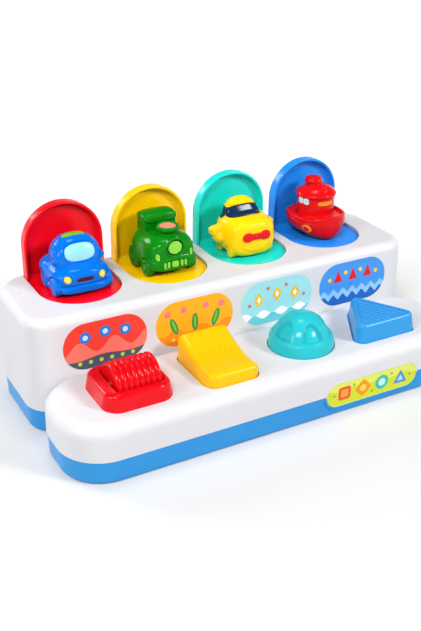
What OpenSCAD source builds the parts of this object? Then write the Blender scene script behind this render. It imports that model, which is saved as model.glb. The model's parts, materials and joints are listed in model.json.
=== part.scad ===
// Pop-up toy: a stepped housing with four lids on the tower and four keys on the deck.
// Millimetres, +Z up, the keys face -Y, the origin is under the middle of the base.

/* [Housing] */
// Length of the housing
toy_len = 321; // [315:1:340]
// Depth from the deck's front to the tower's back
toy_depth = 165; // [160:1:175]
// Height of the tower's top
tower_h = 87; // [84:1:95]
// Height of the deck's top
deck_h = 43.5; // [41:0.5:47]
// Height of the base's skirt
skirt_h = 18; // [16:1:21]
// Wall of the mouldings
wall = 2.5; // [2:0.1:2.8]
// Inward lean of the walls, per unit of height
lean = 0.03; // [0.01:0.005:0.04]
// Depth of the deck, from its front to the tower's front wall
deck_depth = 74.5; // [73:0.5:77]
// How far the deck's rounded ends run in behind the tower's front wall
deck_tuck = 5; // [3:0.5:8]
// Corner radius of the tower's front, seen from above
tower_corner_front = 20; // [16:1:24]
// Corner radius of the tower's back, seen from above
tower_corner_rear = 27; // [20:1:30]
// Corner radius of the deck, seen from above
deck_corner = 32; // [28:1:36]
// Radius of the tower's top edge
tower_edge = 7; // [4:0.5:8]
// Radius of the deck's top edge
deck_edge = 10; // [6:0.5:11]
// Radius of the tower's top edge, inside
tower_inner_edge = 4.5; // [2:0.5:5]
// Radius of the deck's top edge, inside
deck_inner_edge = 6; // [4:0.5:8]
// Step from the housing's wall in to the base's skirt
skirt_step = 0.6; // [0.4:0.1:1]
// Radius of the skirt's bottom edge
skirt_edge = 3; // [2:0.5:4]
// Height of the locating lip on the base
lip_h = 3; // [2:0.5:4]
// Thickness of the locating lip
lip_t = 1.5; // [1.2:0.1:1.8]
// Clearance between the lip and the housing's wall
lip_gap = 0.2; // [0.15:0.05:0.4]

/* [Lids and bays] */
// Distance from the housing's ends to the outer bays' cells
bay_end = 20.5; // [20:0.5:24]
// Distance between two neighbouring bays' openings
bay_web = 8.3; // [8.1:0.1:11]
// Length of a bay's opening in front of the lid
bay_len = 56.4; // [54:0.2:58]
// Distance from the tower's back to the lids' front faces
lid_in = 17.5; // [16.5:0.5:20]
// Height of an open lid above the tower's top
lid_h = 55; // [52:0.5:56]
// Thickness of a lid
lid_t = 8; // [7:0.5:8.5]
// Width of a lid's rim
lid_rim = 2.2; // [1.8:0.1:3]
// Depth of the dish in a lid
lid_sunk = 5; // [4:0.25:5.5]
// Width of the cove round the dish's bottom
dish_cove = 3; // [2:0.25:4]
// Gap round a lid in its opening
lid_gap = 0.5; // [0.4:0.1:0.8]
// Thickness of a flap's floor
floor_t = 4; // [3.5:0.25:4.5]
// Drop from the tower's top to a flap's floor
floor_drop = 2; // [1.5:0.25:2.5]
// Fillet between a lid and its floor
floor_fillet = 9; // [8.5:0.5:11]
// Radius of a hinge pin
pin_r = 1.25; // [1:0.05:1.4]
// Radial clearance of a hinge pin in a flap
pin_gap = 0.05; // [0.03:0.01:0.08]
// Depth of a hinge pin in its web
pin_seat = 3; // [2:0.5:3.5]
// Radius of a flap's hinge barrel
barrel_r = 4.4; // [4.3:0.1:4.8]
// Thickness of a hinge web
web_t = 7.4; // [6:0.2:7.6]
// Wall of a flap's hinge barrel round its spring
barrel_wall = 0.7; // [0.6:0.05:0.9]
// Length of a flap's torsion spring
flap_spring_len = 12; // [8:1:20]
// Wire diameter of a flap's torsion spring
flap_spring_wire = 1; // [0.8:0.1:1.1]
// Room round a flap's spring in its pocket
flap_spring_gap = 0.3; // [0.2:0.05:0.4]
// Length of the leg of a flap's spring under the floor
flap_spring_leg = 20; // [12:1:30]

/* [Keys on the deck] */
// Distance from the housing's left end to the first key
key_left = 55.5; // [53:0.5:57]
// Distance from the housing's right end to the last key
key_right = 65; // [62:0.5:66]
// Distance from the deck's front to the middle of the keys
key_in = 38.5; // [37:0.5:40]
// Gap round a key in its opening
key_gap = 0.7; // [0.4:0.1:1]
// Travel of the pressed keys
key_travel = 5; // [4:0.5:6]
// Thickness of the flange that holds a key under the deck
flange_t = 2.5; // [2:0.25:3]
// Reach of the flange beyond the opening
flange_reach = 2; // [1.5:0.25:2.5]
// Clearance between a flange and the deck
flange_gap = 0.3; // [0.2:0.05:0.5]

/* [Roller] */
// Width of the roller's frame
frame_w = 51; // [49:0.5:53]
// Depth of the roller's frame
frame_d = 49.5; // [48:0.5:52]
// Height of the roller's frame above the deck
frame_h = 11.5; // [10:0.5:13]
// Corner radius of the roller's frame
frame_corner = 12; // [9:0.5:13]
// Top edge radius of the roller's frame
frame_edge = 4.5; // [2:0.5:5]
// Inward lean of the frame's walls, per unit of height
frame_lean = 0.2; // [0.1:0.05:0.25]
// Width of the well in the frame
well_w = 34; // [32:0.5:35]
// Distance of the well from the frame's middle, to the right
well_off = 2.5; // [0:0.5:3]
// Depth of the well in the frame
well_d = 33; // [32.5:0.5:33.5]
// Largest radius of the roller
roller_r = 15.5; // [14:0.5:16]
// Height of the roller's axis above the deck
roller_z = 8; // [7:0.5:8.5]
// Number of ribs on the roller
roller_ribs = 8; // [6:1:10]
// Depth of the grooves between the ribs
rib_depth = 1.6; // [1:0.2:2]
// Gap between the roller's ends and the well
roller_end_gap = 0.7; // [0.4:0.1:1]
// Radius of the roller's axle
axle_r = 2; // [1.5:0.25:2.5]
// Radial clearance of the axle in the roller
axle_gap = 0.05; // [0.03:0.01:0.08]
// Depth of the axle in the frame
axle_seat = 3; // [2:0.5:3.5]
// End play of the axle at each end
axle_play = 0.2; // [0.1:0.05:0.3]
// Wall of the frame's plug
plug_wall = 2; // [1.5:0.25:2.5]
// Clearance of the frame's plug in the deck's opening
plug_gap = 0.2; // [0.15:0.05:0.4]
// Depth of the frame's plug in the deck's opening
frame_plug = 5; // [3:0.5:7]

/* [Square key] */
// Width of the square key at the deck
square_w = 42; // [40:0.5:43]
// Depth of the square key at the deck
square_d = 54.5; // [53:0.5:55.5]
// Corner radius of the square key
square_corner = 9; // [6:0.5:10]
// Height of the square key's back above the deck
square_back_h = 18.5; // [15:0.5:20]
// Height of the square key's front above the deck
square_front_h = 9.5; // [8:0.5:12]
// Draw-in of the square key's top
square_draw = 1.25; // [1:0.25:3]
// Top edge radius of the square key
square_edge = 5; // [3:0.5:5.5]
// Sag of the square key's hollowed top
square_sag = 3; // [0.5:0.25:3.5]

/* [Dome] */
// Radius of the dome's foot
dome_r = 24.3; // [23.5:0.1:25]
// Height of the dome above the deck
dome_h = 26.5; // [25:0.5:28]
// Depth of the windows sunk in the dome
window_sunk = 2; // [1.5:0.25:2.5]
// Number of windows round the dome
window_count = 5; // [4:1:6]
// Half the angle of the ribs between the windows, in degrees
window_rib = 15.5; // [12:0.5:18]
// Height of the windows' foot above the deck
window_foot = 10.5; // [9:0.5:12]
// Height of the windows' tip above the deck
window_tip = 23; // [21:0.5:24]
// Turn of the windows round the dome, in degrees
window_turn = -6.6; // [-12:0.2:12]
// Twist of the dome to each side, in degrees
dome_twist = 25; // [20:1:28]
// Radius of the circle on which the dome's crank pin lies
crank_r = 14; // [13:0.5:15]
// Radius of the dome's crank pin
crank_pin_r = 2.5; // [2:0.25:3]
// Thickness of the ring that holds the dome
ring_t = 3; // [2.5:0.25:3.5]
// Reach of the ring beyond the dome's flange
ring_w = 5.5; // [5:0.25:6]
// Reach of the ring under the dome's flange
ring_hold = 6; // [5:0.5:7]
// Radius of the pillars that carry the ring
pillar_r = 2.2; // [2:0.1:2.4]

/* [Triangle key] */
// Half the width of the triangle key's front side at the deck
tri_half = 26; // [24.5:0.5:27]
// Depth of the triangle key at the deck
tri_d = 47; // [45:0.5:48]
// Corner radius of the triangle key
tri_corner = 6.5; // [5:0.5:8]
// Height of the triangle key above the deck
tri_h = 14; // [12:0.5:16]
// Draw-in of the triangle key's top
tri_draw = 1.5; // [1:0.25:2]
// Top edge radius of the triangle key
tri_edge = 3; // [1.5:0.25:3.5]
// Depth of the triangle key's sunk panel
tri_sunk = 1.5; // [1:0.25:2]
// Width of the rim round the sunk panel
tri_rim = 3; // [2.5:0.25:4]
// Width of the ribs on the sunk panel
tri_rib_w = 2; // [1.8:0.1:2.4]
// Number of ribs on the sunk panel
tri_ribs = 6; // [4:1:7]

/* [Labels] */
// Width of a tower label
label_w = 63; // [58:0.5:64]
// Height of a tower label
label_h = 35; // [32:0.5:36]
// Corner radius of a tower label
label_corner = 17; // [10:0.5:17.5]
// Thickness of the labels
label_t = 0.3; // [0.2:0.05:0.5]
// Distance from the deck's top to the tower labels
label_up = 1.5; // [1:0.25:3]
// Length of the front label
strip_w = 81; // [76:0.5:84]
// Height of the front label
strip_h = 19; // [17:0.5:20]
// Place of the front label along the housing
strip_x = 72; // [68:0.5:74]
// Height of the front label's middle above the table
strip_z = 17; // [16:0.5:18]
// Rim of the tongue round the front label
tongue_rim = 1.5; // [1:0.1:2]
// Gap between the tongue and the skirt
tongue_gap = 0.3; // [0.2:0.05:0.5]

/* [Figures] */
// Width of the car, as a share of a flap's width
car_share = 0.74; // [0.7:0.01:0.78]
// Length of the car
car_len = 38; // [36:0.5:39]
// Height of the car
car_h = 40; // [37:0.5:42]
// Width of the train, as a share of a flap's width
train_share = 0.67; // [0.62:0.01:0.7]
// Length of the train
train_len = 42; // [40:0.5:43]
// Height of the train
train_h = 45; // [42:0.5:46]
// Span of the plane's wings, as a share of a flap's width
plane_share = 0.9; // [0.8:0.01:0.9]
// Length of the plane
plane_len = 38; // [36:0.5:39]
// Height of the plane
plane_h = 43; // [40:0.5:45]
// Width of the boat, as a share of a flap's width
boat_share = 0.72; // [0.68:0.01:0.76]
// Length of the boat
boat_len = 41; // [39:0.5:42]
// Height of the boat
boat_h = 46.5; // [43:0.5:47]
// Distance from the lids' front faces to the middle of the figures
figure_in = 22; // [21:0.5:23]
// Height of the pads and depth of the recesses on the figures
pad_t = 0.6; // [0.4:0.1:0.8]
// Radius of the pegs under the figures
peg_r = 2.5; // [2:0.25:3]
// Distance between the two pegs of a figure
peg_pitch = 18; // [14:1:22]
// Depth of the pegs in the figures
peg_up = 6; // [4:0.5:8]
// Radial clearance of a figure's pegs in the floor
peg_gap = 0.05; // [0.03:0.01:0.1]
// Thickness of the figures' wheels
wheel_t = 5; // [4:0.5:6]
// Width of the boat's gunwale
gunwale_w = 2.5; // [2:0.25:3]

/* [Latches] */
// Width of a latch plate
latch_w = 28; // [26:0.5:29]
// Thickness of a latch plate
latch_t = 3; // [2.5:0.25:3.5]
// Radius of the guide posts
guide_r = 2; // [1.75:0.05:2.25]
// Side gap of a guide post in its slot
guide_gap = 0.3; // [0.2:0.05:0.5]
// Play of a guide post at the ends of its slot
slot_play = 1.5; // [1:0.25:2]
// Distance between a plate's two guide posts
guide_pitch = 45; // [40:1:50]
// Distance from a plate's back end to its rear guide post
guide_in = 20; // [16:1:24]
// Height of the seats under the latch plates
seat_h = 1.5; // [1.2:0.1:2]
// Reach of a seat beyond its guide post
seat_reach = 2.5; // [2:0.25:3]
// Clearance of a latch plate above its seats
seat_gap = 0.1; // [0.05:0.05:0.3]
// Width of a latch's nose
nose_w = 12; // [10:0.5:14]
// Length of a latch's nose at the plate
nose_len = 9; // [7:0.5:11]
// Length of a latch's nose at its tip
nose_tip = 3; // [2:0.25:4]
// Distance from a latch's nose to the floor of a shut flap
nose_gap = 2; // [1.5:0.25:3]
// Width of the finger behind the roller
finger_w = 8; // [6:0.5:10]
// Thickness of the finger behind the roller
finger_t = 3; // [2:0.25:4]
// Width of the wedge under a pressed key
wedge_w = 8; // [7:0.5:9]
// Clearance between the wedges, and of each latch's nose below the floor's path
trip_gap = 0.4; // [0.3:0.05:0.6]
// Radius of a latch spring
latch_spring_r = 2; // [1.75:0.05:2.2]
// Length of a latch spring
latch_spring_len = 11; // [10:0.5:13]
// Wire diameter of a latch spring
latch_spring_wire = 0.6; // [0.5:0.05:0.8]
// Clearance of a latch spring at each end
latch_spring_gap = 0.05; // [0.02:0.01:0.1]
// Thickness of the stop behind a latch spring
stop_t = 2; // [1.5:0.25:3]
// Width of the stop behind a latch spring
stop_w = 10; // [8:0.5:12]

/* [Springs and screws] */
// Outer radius of a key's spring
key_spring_r = 4.4; // [4:0.1:4.6]
// Wire diameter of a key's spring
key_spring_wire = 1; // [0.8:0.1:1.2]
// Room round a key's spring in its pocket
key_spring_gap = 0.6; // [0.4:0.1:0.8]
// Height of the posts that carry the key springs
spring_post_h = 14; // [10:0.5:16]
// Rim of the posts round the key springs
spring_post_rim = 0.8; // [0.6:0.1:1]
// Height of the pin inside a key's spring
spring_pin_h = 8; // [6:0.5:10]
// Distance from the housing's ends to the screw posts
post_in = 13; // [12:0.5:14]
// Height of the bosses round the base screws, above the base's floor
boss_h = 4; // [3:0.5:5]
// Wall of the bosses round the base screws
boss_wall = 1.6; // [1.2:0.1:2]
// Radius of a screw post
post_r = 3.5; // [3:0.1:3.6]
// Radius of a base screw
screw_r = 1.4; // [1.2:0.05:1.6]
// Radius of a base screw's head
screw_head_r = 3; // [2.5:0.1:3.3]
// Height of a base screw's head
screw_head_h = 1.6; // [1.4:0.1:1.8]
// Length of a base screw
screw_len = 14; // [10:0.5:18]
// Radial clearance of a screw in its hole
screw_gap = 0.1; // [0.05:0.05:0.2]
// Radial clearance of the pins and screws that are pressed in
press_gap = 0.02; // [0.01:0.01:0.05]
// Radius of a guide screw's head
guide_head_r = 3.6; // [3.2:0.1:4]
// Height of a guide screw's head
guide_head_h = 1.6; // [1.2:0.1:2]
// Clearance of a guide screw's head above its plate
guide_head_gap = 0.2; // [0.1:0.05:0.4]

/* [Hidden] */
$fn = 64;
arc_steps = 6;
names = ["red", "yellow", "teal", "blue"];
key_names = ["roller", "square", "dome", "triangle"];
flap_colours = ["#e8151f", "#fdc70c", "#1fbfae", "#2f7fe0"];

// How far shapes of one moulding run into each other, and cuts run past what they cut
sink = 0.5;
over = 1;

// Places along the housing
front_y = -toy_depth / 2;
back_y = toy_depth / 2;
tower_y = front_y + deck_depth;
deck_back_y = tower_y + deck_tuck;
lid_y = back_y - lid_in;
bay_pitch = (toy_len - 2 * bay_end) / 4;
bay_w = bay_pitch - bay_web;
bay_xs = [for (i = [0:3]) (i - 1.5) * bay_pitch];
key_shares = [0, 0.34, 0.688, 1];
key_xs = [for (s = key_shares) key_left - toy_len / 2 + s * (toy_len - key_left - key_right)];
roller_x = key_xs[0] + well_off;
key_y = front_y + key_in;
hinge_y = lid_y + lid_t / 2;
hinge_z = tower_h - lid_t / 2;
floor_top = tower_h - floor_drop;
flap_w = bay_w - 2 * lid_gap;
flap_len = bay_len - lid_gap;
lid_len = tower_h + lid_h - hinge_z;
dish_y = lid_y + lid_sunk;
bay_back_y = hinge_y + barrel_r + lid_gap;
deck_under = deck_h - wall;
tower_under = tower_h - wall;
flange_top = deck_under - flange_gap;
lean_angle = atan(lean);
pocket_r = barrel_r - barrel_wall;
flap_spring_r = pocket_r - flap_spring_gap;
roller_len = well_w - 2 * roller_end_gap;
dome_flange_r = dome_r + key_gap + flange_reach;

// Places of the latch plates, above the base's floor
crank_swing = crank_r * (1 - cos(dome_twist));
latch_travel = max(key_travel, crank_r * sin(dome_twist)) + trip_gap;
latch_z = wall + seat_h + seat_gap;
latch_top = latch_z + latch_t;
foot_y = key_y + crank_r;
latch_front = foot_y - wedge_w / 2 - stop_t;
latch_back = hinge_y - (floor_top - hinge_z) - nose_gap;
guide_ys = [latch_back - guide_in, latch_back - guide_in - guide_pitch];
latch_spring_y = guide_ys[0] - guide_pitch / 2;
wedge_z = latch_top + wedge_w / 2 + key_travel + trip_gap;
nose_z = hinge_z - norm([hinge_y - lid_y + flap_len, floor_top - hinge_z]) - trip_gap;

// Places of the screw posts: round the tower, between the bays, then round the deck
post_x = toy_len / 2 - post_in;
tower_post_ys = [tower_y + tower_corner_front, back_y - tower_corner_rear];
tower_posts = [for (sx = [-1, 1], y = tower_post_ys) [sx * post_x, y]];
middle_posts = [[0, lid_y - bay_len / 2]];
deck_posts = [for (sx = [-1, 1]) [sx * post_x, key_y]];

// Two-dimensional outlines

module rounded_rect(w, d, r) {
    for (sx = [-1, 1], sy = [-1, 1])
        translate([sx * (w / 2 - r), sy * (d / 2 - r)]) circle(r);
    square([w - 2 * r, d], center = true);
    square([w, d - 2 * r], center = true);
}

// Bar with round ends
module pill(w, d) {
    for (sx = [-1, 1]) translate([sx * (w - d) / 2, 0]) circle(d / 2);
    square([w - d, d], center = true);
}

// Arch with its straight foot on the X axis and its round end towards +Y
module arch(w, len, foot = 0) {
    translate([0, len - w / 2]) circle(w / 2);
    translate([-w / 2, -foot]) square([w, len - w / 2 + foot]);
}

// Wall profile that leans in and ends in a rounded top edge, from the axis out to r
module wall_profile(r, z0, z1, edge, in) {
    top_r = r - in * (z1 - edge - z0);
    polygon(concat([[0, z0], [r, z0]],
        [for (k = [0:arc_steps]) let (a = 90 * k / arc_steps)
            [top_r - edge + edge * cos(a), z1 - edge + edge * sin(a)]],
        [[0, z1]]));
}

// Three-dimensional building blocks

// Block with rounded plan corners, leaning walls and a rounded top edge
module leaning_block(len, y0, y1, rf, rr, z0, z1, edge, in) {
    for (sx = [0, 1]) mirror([sx, 0, 0]) {
        translate([len / 2 - rf, y0 + rf, 0]) rotate([0, 0, -90])
            rotate_extrude(angle = 90) wall_profile(rf, z0, z1, edge, in);
        translate([len / 2 - rr, y1 - rr, 0])
            rotate_extrude(angle = 90) wall_profile(rr, z0, z1, edge, in);
        translate([len / 2 - rf, y1 - rr, 0]) rotate([90, 0, 0])
            linear_extrude(y1 - rr - y0 - rf) wall_profile(rf, z0, z1, edge, in);
    }
    translate([-(len / 2 - rf), y0 + rf, 0]) rotate([90, 0, 90]) mirror([1, 0, 0])
        linear_extrude(len - 2 * rf) wall_profile(rf, z0, z1, edge, in);
    translate([-(len / 2 - rr), y1 - rr, 0]) rotate([90, 0, 90])
        linear_extrude(len - 2 * rr) wall_profile(rr, z0, z1, edge, in);
    translate([-(len / 2 - rf), y0 + rf, z0])
        cube([len - 2 * rf, y1 - rr - y0 - rf, z1 - z0]);
}

// Superellipse section of a loft: row = [y, half width, lowest z, widest z, highest z]
function power(v, p) = sign(v) * pow(abs(v), 2 / p);
function section(row, n, p) = [for (i = [0:n - 1])
    let (s = power(sin(360 * i / n), p))
    [row[1] * power(cos(360 * i / n), p), row[0],
        row[3] + (s >= 0 ? row[4] - row[3] : row[3] - row[2]) * s]];

// Closed skin through the sections, front row first
module loft(rows, n = 20, p = 2.6) {
    m = len(rows);
    ends = [[0, rows[0][0], rows[0][3]], [0, rows[m - 1][0], rows[m - 1][3]]];
    sides = [for (k = [0:m - 2], i = [0:n - 1]) let (j = (i + 1) % n)
        each [[k * n + i, k * n + j, (k + 1) * n + i], [k * n + j, (k + 1) * n + j, (k + 1) * n + i]]];
    front = [for (i = [0:n - 1]) [m * n, (i + 1) % n, i]];
    back = [for (i = [0:n - 1]) [m * n + 1, (m - 1) * n + i, (m - 1) * n + (i + 1) % n]];
    polyhedron(concat([for (row = rows) each section(row, n, p)], ends), concat(sides, front, back));
}

// Rows given as shares of a figure's length, half width and height
function sized(rows, l, w, h) = [for (r = rows) [r[0] * l, r[1] * w / 2, r[2] * h, r[3] * h, r[4] * h]];

module tube(r_out, r_in, h) {
    difference() {
        cylinder(r = r_out, h = h);
        translate([0, 0, -over]) cylinder(r = r_in, h = h + 2 * over);
    }
}

module along_x(x, y, z) { translate([x, y, z]) rotate([0, 90, 0]) children(); }

// Puts a flat outline, drawn in X and Z, on the tower's leaning front wall
module on_tower_wall(x, z) {
    translate([x, tower_y + lean * (z - skirt_h), z]) rotate([90 - lean_angle, 0, 0]) children();
}

// Puts a flat outline on the deck's front face
module on_front(x, z) { translate([x, front_y, z]) rotate([90, 0, 0]) children(); }

// Housing

module housing_blocks(in, z0, top_in, tower_e, deck_e) {
    leaning_block(toy_len - 2 * in, tower_y + in, back_y - in, tower_corner_front - in,
        tower_corner_rear - in, z0, tower_h - top_in, tower_e, lean);
    leaning_block(toy_len - 2 * in, front_y + in, deck_back_y - in, deck_corner - in,
        deck_corner - in, z0, deck_h - top_in, deck_e, lean);
}

// Way between the deck and the tower, through both walls
module passage(z0, z1) translate([-toy_len / 2 + deck_corner, tower_y - deck_tuck, z0])
    cube([toy_len - 2 * deck_corner, 3 * deck_tuck, z1 - z0]);

// Skirt outline as a block that leans in towards the table
module skirt_block(in, z0, z1) {
    leaning_plan(tower_y, back_y, tower_corner_front, tower_corner_rear, in, z0, z1);
    leaning_plan(front_y, deck_back_y, deck_corner, deck_corner, in, z0, z1);
}

// Upside-down leaning block for the skirt: its rounded edge is at the bottom
module leaning_plan(y0, y1, rf, rr, in, z0, z1) {
    translate([0, 0, z0 + z1]) mirror([0, 0, 1])
        leaning_block(toy_len - 2 * in, y0 + in, y1 - in, rf - in, rr - in, z0, z1, skirt_edge, lean);
}

module screw_places() {
    for (p = concat(tower_posts, middle_posts, deck_posts)) translate(p) children();
}

// Pillars between the base's bosses and the housing's top, which take the base screws
module screw_pillars() color("#ececec") {
    foot = wall + boss_h;
    difference() {
        union() {
            for (p = concat(tower_posts, middle_posts)) translate([p[0], p[1], foot])
                cylinder(r = post_r, h = tower_under - foot);
            for (p = deck_posts) translate([p[0], p[1], foot])
                cylinder(r = post_r, h = deck_under - foot);
        }
        screw_places() cylinder(r = screw_r, h = boss_h + screw_len);
    }
}

// Blocks under the tower's top that carry the hinge pins' ends
module hinge_blocks() color("#ececec") difference() {
    intersection() {
        for (k = [-2:2]) translate([k * bay_pitch - web_t / 2, hinge_y - barrel_r, hinge_z - barrel_r])
            cube([web_t, 2 * barrel_r, tower_under - hinge_z + barrel_r]);
        housing_blocks(wall + lip_gap, skirt_h, wall, tower_inner_edge, deck_inner_edge);
    }
    along_x(-post_x, hinge_y, hinge_z) cylinder(r = pin_r + press_gap, h = 2 * post_x);
}

module bay_cut(i) {
    translate([bay_xs[i], lid_y, tower_under - over]) mirror([0, 1, 0]) linear_extrude(wall + 2 * over)
        arch(bay_w, bay_len, bay_back_y - lid_y);
}

module tongue(grow, t) {
    on_front(strip_x, strip_z) translate([0, 0, -t]) linear_extrude(t)
        pill(strip_w + 2 * grow, strip_h + 2 * grow);
}

module tower_label(i) color(flap_colours[i]) on_tower_wall(bay_xs[i], deck_h + label_up + label_h / 2)
    translate([0, 0, -label_t]) linear_extrude(label_t) rounded_rect(label_w, label_h, label_corner);

module key_openings() {
    translate([0, key_y, deck_under - over]) linear_extrude(wall + 2 * over) {
        translate([roller_x, 0]) square([well_w + 2 * plug_wall, well_d + 2 * plug_wall], center = true);
        translate([key_xs[1], 0])
            rounded_rect(square_w + 2 * key_gap, square_d + 2 * key_gap, square_corner + key_gap);
        translate([key_xs[2], 0]) circle(dome_r + key_gap);
        translate([key_xs[3], 0]) tri_outline(key_gap);
    }
}

module top_shell() color("#f4f4f4") {
    cut_z = skirt_h - deck_tuck;
    difference() {
        union() {
            difference() {
                housing_blocks(0, skirt_h, 0, tower_edge, deck_edge);
                housing_blocks(wall - lean * deck_tuck, cut_z, wall, tower_inner_edge, deck_inner_edge);
                passage(cut_z, deck_under);
            }
            tongue(tongue_rim, wall);
        }
        for (i = [0:3]) bay_cut(i);
        for (i = [0:3]) tower_label(i);
        on_front(strip_x, strip_z) translate([0, 0, -label_t]) linear_extrude(label_t + over)
            pill(strip_w, strip_h);
        key_openings();
    }
}

module front_label() color("#d3dd3a") tongue(0, label_t);

module base_tray() color("#3f9df0") {
    difference() {
        union() {
            difference() {
                skirt_block(skirt_step, 0, skirt_h);
                skirt_block(skirt_step + wall, wall, skirt_h + wall);
                passage(wall, skirt_h + over);
            }
            base_lip();
            guide_posts();
            for (k = [1, 3]) translate([key_xs[k], key_y, wall - sink]) spring_post();
            spring_stops();
            screw_places() cylinder(r = screw_head_r + screw_gap + boss_wall, h = wall + boss_h);
        }
        tongue(tongue_rim + tongue_gap, 2 * wall);
        screw_places() translate([0, 0, -over]) {
            cylinder(r = screw_r + screw_gap, h = wall + boss_h + 2 * over);
            cylinder(r = screw_head_r + screw_gap, h = boss_h + over);
        }
        guide_places() translate([0, 0, wall]) cylinder(r = guide_r / 2, h = latch_top);
    }
}

// Lip that locates the housing on the base, along the deck's front and the tower's back
module base_lip() {
    lip_in = wall + lean * lip_h + lip_gap;
    for (side = [[front_y + lip_in, deck_corner], [back_y - lip_in - lip_t, tower_corner_rear]])
        translate([-toy_len / 2 + side[1], side[0], wall - sink])
            cube([toy_len - 2 * side[1], lip_t, skirt_h + lip_h - wall + sink]);
}

module guide_places() for (x = bay_xs, y = guide_ys) translate([x, y, 0]) children();

module guide_posts() guide_places() translate([0, 0, wall - sink]) {
    cylinder(r = guide_r + seat_reach, h = seat_h + sink);
    cylinder(r = guide_r, h = latch_top + guide_head_gap - wall + sink);
}

module spring_post() {
    cylinder(r = key_spring_r + spring_post_rim, h = spring_post_h + sink);
    cylinder(r = key_spring_r - key_spring_wire - flap_spring_gap, h = spring_post_h + spring_pin_h);
}

module spring_stops() {
    for (x = bay_xs)
        translate([x + latch_w / 2 + latch_spring_len, latch_spring_y - stop_w / 2, wall - sink])
            cube([stop_t, stop_w, latch_top]);
}

module base_screws() color("#9a9da0") screw_places() {
    translate([0, 0, boss_h - screw_head_h]) cylinder(r = screw_head_r, h = screw_head_h);
    translate([0, 0, boss_h - sink]) cylinder(r = screw_r - press_gap, h = screw_len);
}

module guide_screws() color("#9a9da0") guide_places() {
    translate([0, 0, wall + sink]) cylinder(r = guide_r / 2 - press_gap, h = latch_top - wall);
    translate([0, 0, latch_top + guide_head_gap]) cylinder(r = guide_head_r, h = guide_head_h);
}

// Flaps: a lid and the floor in front of it, one moulding

module flap(i) color(flap_colours[i]) translate([bay_xs[i], 0, 0]) difference() {
    spring_room = flap_spring_len + 2 * flap_spring_gap;
    union() {
        translate([0, lid_y + lid_t, hinge_z]) rotate([90, 0, 0]) linear_extrude(lid_t)
            arch(flap_w, lid_len);
        translate([0, lid_y + sink, floor_top - floor_t]) mirror([0, 1, 0]) linear_extrude(floor_t)
            arch(flap_w, flap_len + sink);
        along_x(-flap_w / 2, hinge_y, hinge_z) cylinder(r = barrel_r, h = flap_w);
        translate([-flap_w / 2, 0, 0]) rotate([90, 0, 90]) linear_extrude(flap_w) difference() {
            translate([dish_y - floor_fillet, floor_top - sink]) square([floor_fillet, floor_fillet]);
            dish_profile();
        }
    }
    intersection() {
        dish();
        translate([-flap_w / 2, 0, 0]) rotate([90, 0, 90]) linear_extrude(flap_w) dish_profile();
    }
    along_x(-flap_w, hinge_y, hinge_z) cylinder(r = pin_r + pin_gap, h = 2 * flap_w);
    along_x(-spring_room / 2, hinge_y, hinge_z) cylinder(r = pocket_r, h = spring_room);
    translate([-spring_room / 2, hinge_y - pocket_r, hinge_z - lid_t])
        cube([spring_room, 2 * pocket_r, lid_t]);
    for (sy = [-1, 1]) translate([0, lid_y - figure_in + sy * peg_pitch / 2, floor_top - floor_t - over])
        cylinder(r = peg_r + peg_gap, h = floor_t + 2 * over);
}

// Room of the dish inside a lid's rim, narrowed by the cove towards its bottom
module dish() hull() for (k = [0:arc_steps]) {
    a = 90 * k / arc_steps;
    in = lid_rim + dish_cove * (1 - cos(a));
    depth = lid_sunk - dish_cove + dish_cove * sin(a);
    translate([0, lid_y + depth, hinge_z]) rotate([90, 0, 0]) linear_extrude(depth + over)
        arch(flap_w - 2 * in, lid_len - in);
}

// Room in front of the dish's bottom and above the floor, with the fillet between them, in Y and Z
module dish_profile() {
    round_y = dish_y - floor_fillet;
    round_z = floor_top + floor_fillet;
    translate([round_y, round_z]) circle(floor_fillet);
    translate([round_y, round_z]) square([floor_fillet, lid_len]);
    translate([lid_y - flap_len, floor_top]) square([flap_len - lid_y + round_y, lid_len]);
}

module hinge_pin(i) color("#c9ccd0")
    along_x(bay_xs[i] - bay_pitch / 2 + web_t / 2 - pin_seat, hinge_y, hinge_z)
        cylinder(r = pin_r, h = bay_pitch - web_t + 2 * pin_seat);

// Torsion spring on a hinge pin: one leg lifts the floor, the other bears on the tower's back wall
module flap_spring(i) color("#8d9094") translate([bay_xs[i], hinge_y, hinge_z]) {
    back_leg = back_y - wall - lean * (hinge_z - skirt_h) - hinge_y - flap_spring_gap;
    leg_x = (flap_spring_len - flap_spring_wire) / 2;
    leg_z = flap_spring_wire / 2 - flap_spring_r;
    along_x(-flap_spring_len / 2, 0, 0)
        tube(flap_spring_r, flap_spring_r - flap_spring_wire, flap_spring_len);
    translate([leg_x, 0, leg_z]) rotate([90, 0, 0]) cylinder(r = flap_spring_wire / 2, h = flap_spring_leg);
    translate([-leg_x, 0, leg_z]) rotate([-90, 0, 0]) cylinder(r = flap_spring_wire / 2, h = back_leg);
}

// Figures

car_w = car_share * flap_w;
train_w = train_share * flap_w;
plane_w = plane_share * flap_w;
boat_w = boat_share * flap_w;

module on_floor(i) translate([bay_xs[i], lid_y - figure_in, floor_top]) children();

module pegs() for (sy = [-1, 1]) translate([0, sy * peg_pitch / 2, -floor_t])
    cylinder(r = peg_r, h = floor_t + peg_up);

// Pair of wheels with a sunk ring round the hub
module wheels(w, y, r) for (sx = [0, 1]) mirror([sx, 0, 0]) along_x(w / 2 - wheel_t, y, r)
    rotate_extrude($fn = 32) polygon([[0, 0], [r, 0], [r, wheel_t - 1.5 * pad_t],
        [0.9 * r, wheel_t - pad_t / 2], [0.74 * r, wheel_t - pad_t / 2],
        [0.7 * r, wheel_t - 2 * pad_t], [0.56 * r, wheel_t - 2 * pad_t], [0.5 * r, wheel_t], [0, wheel_t]]);

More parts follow.
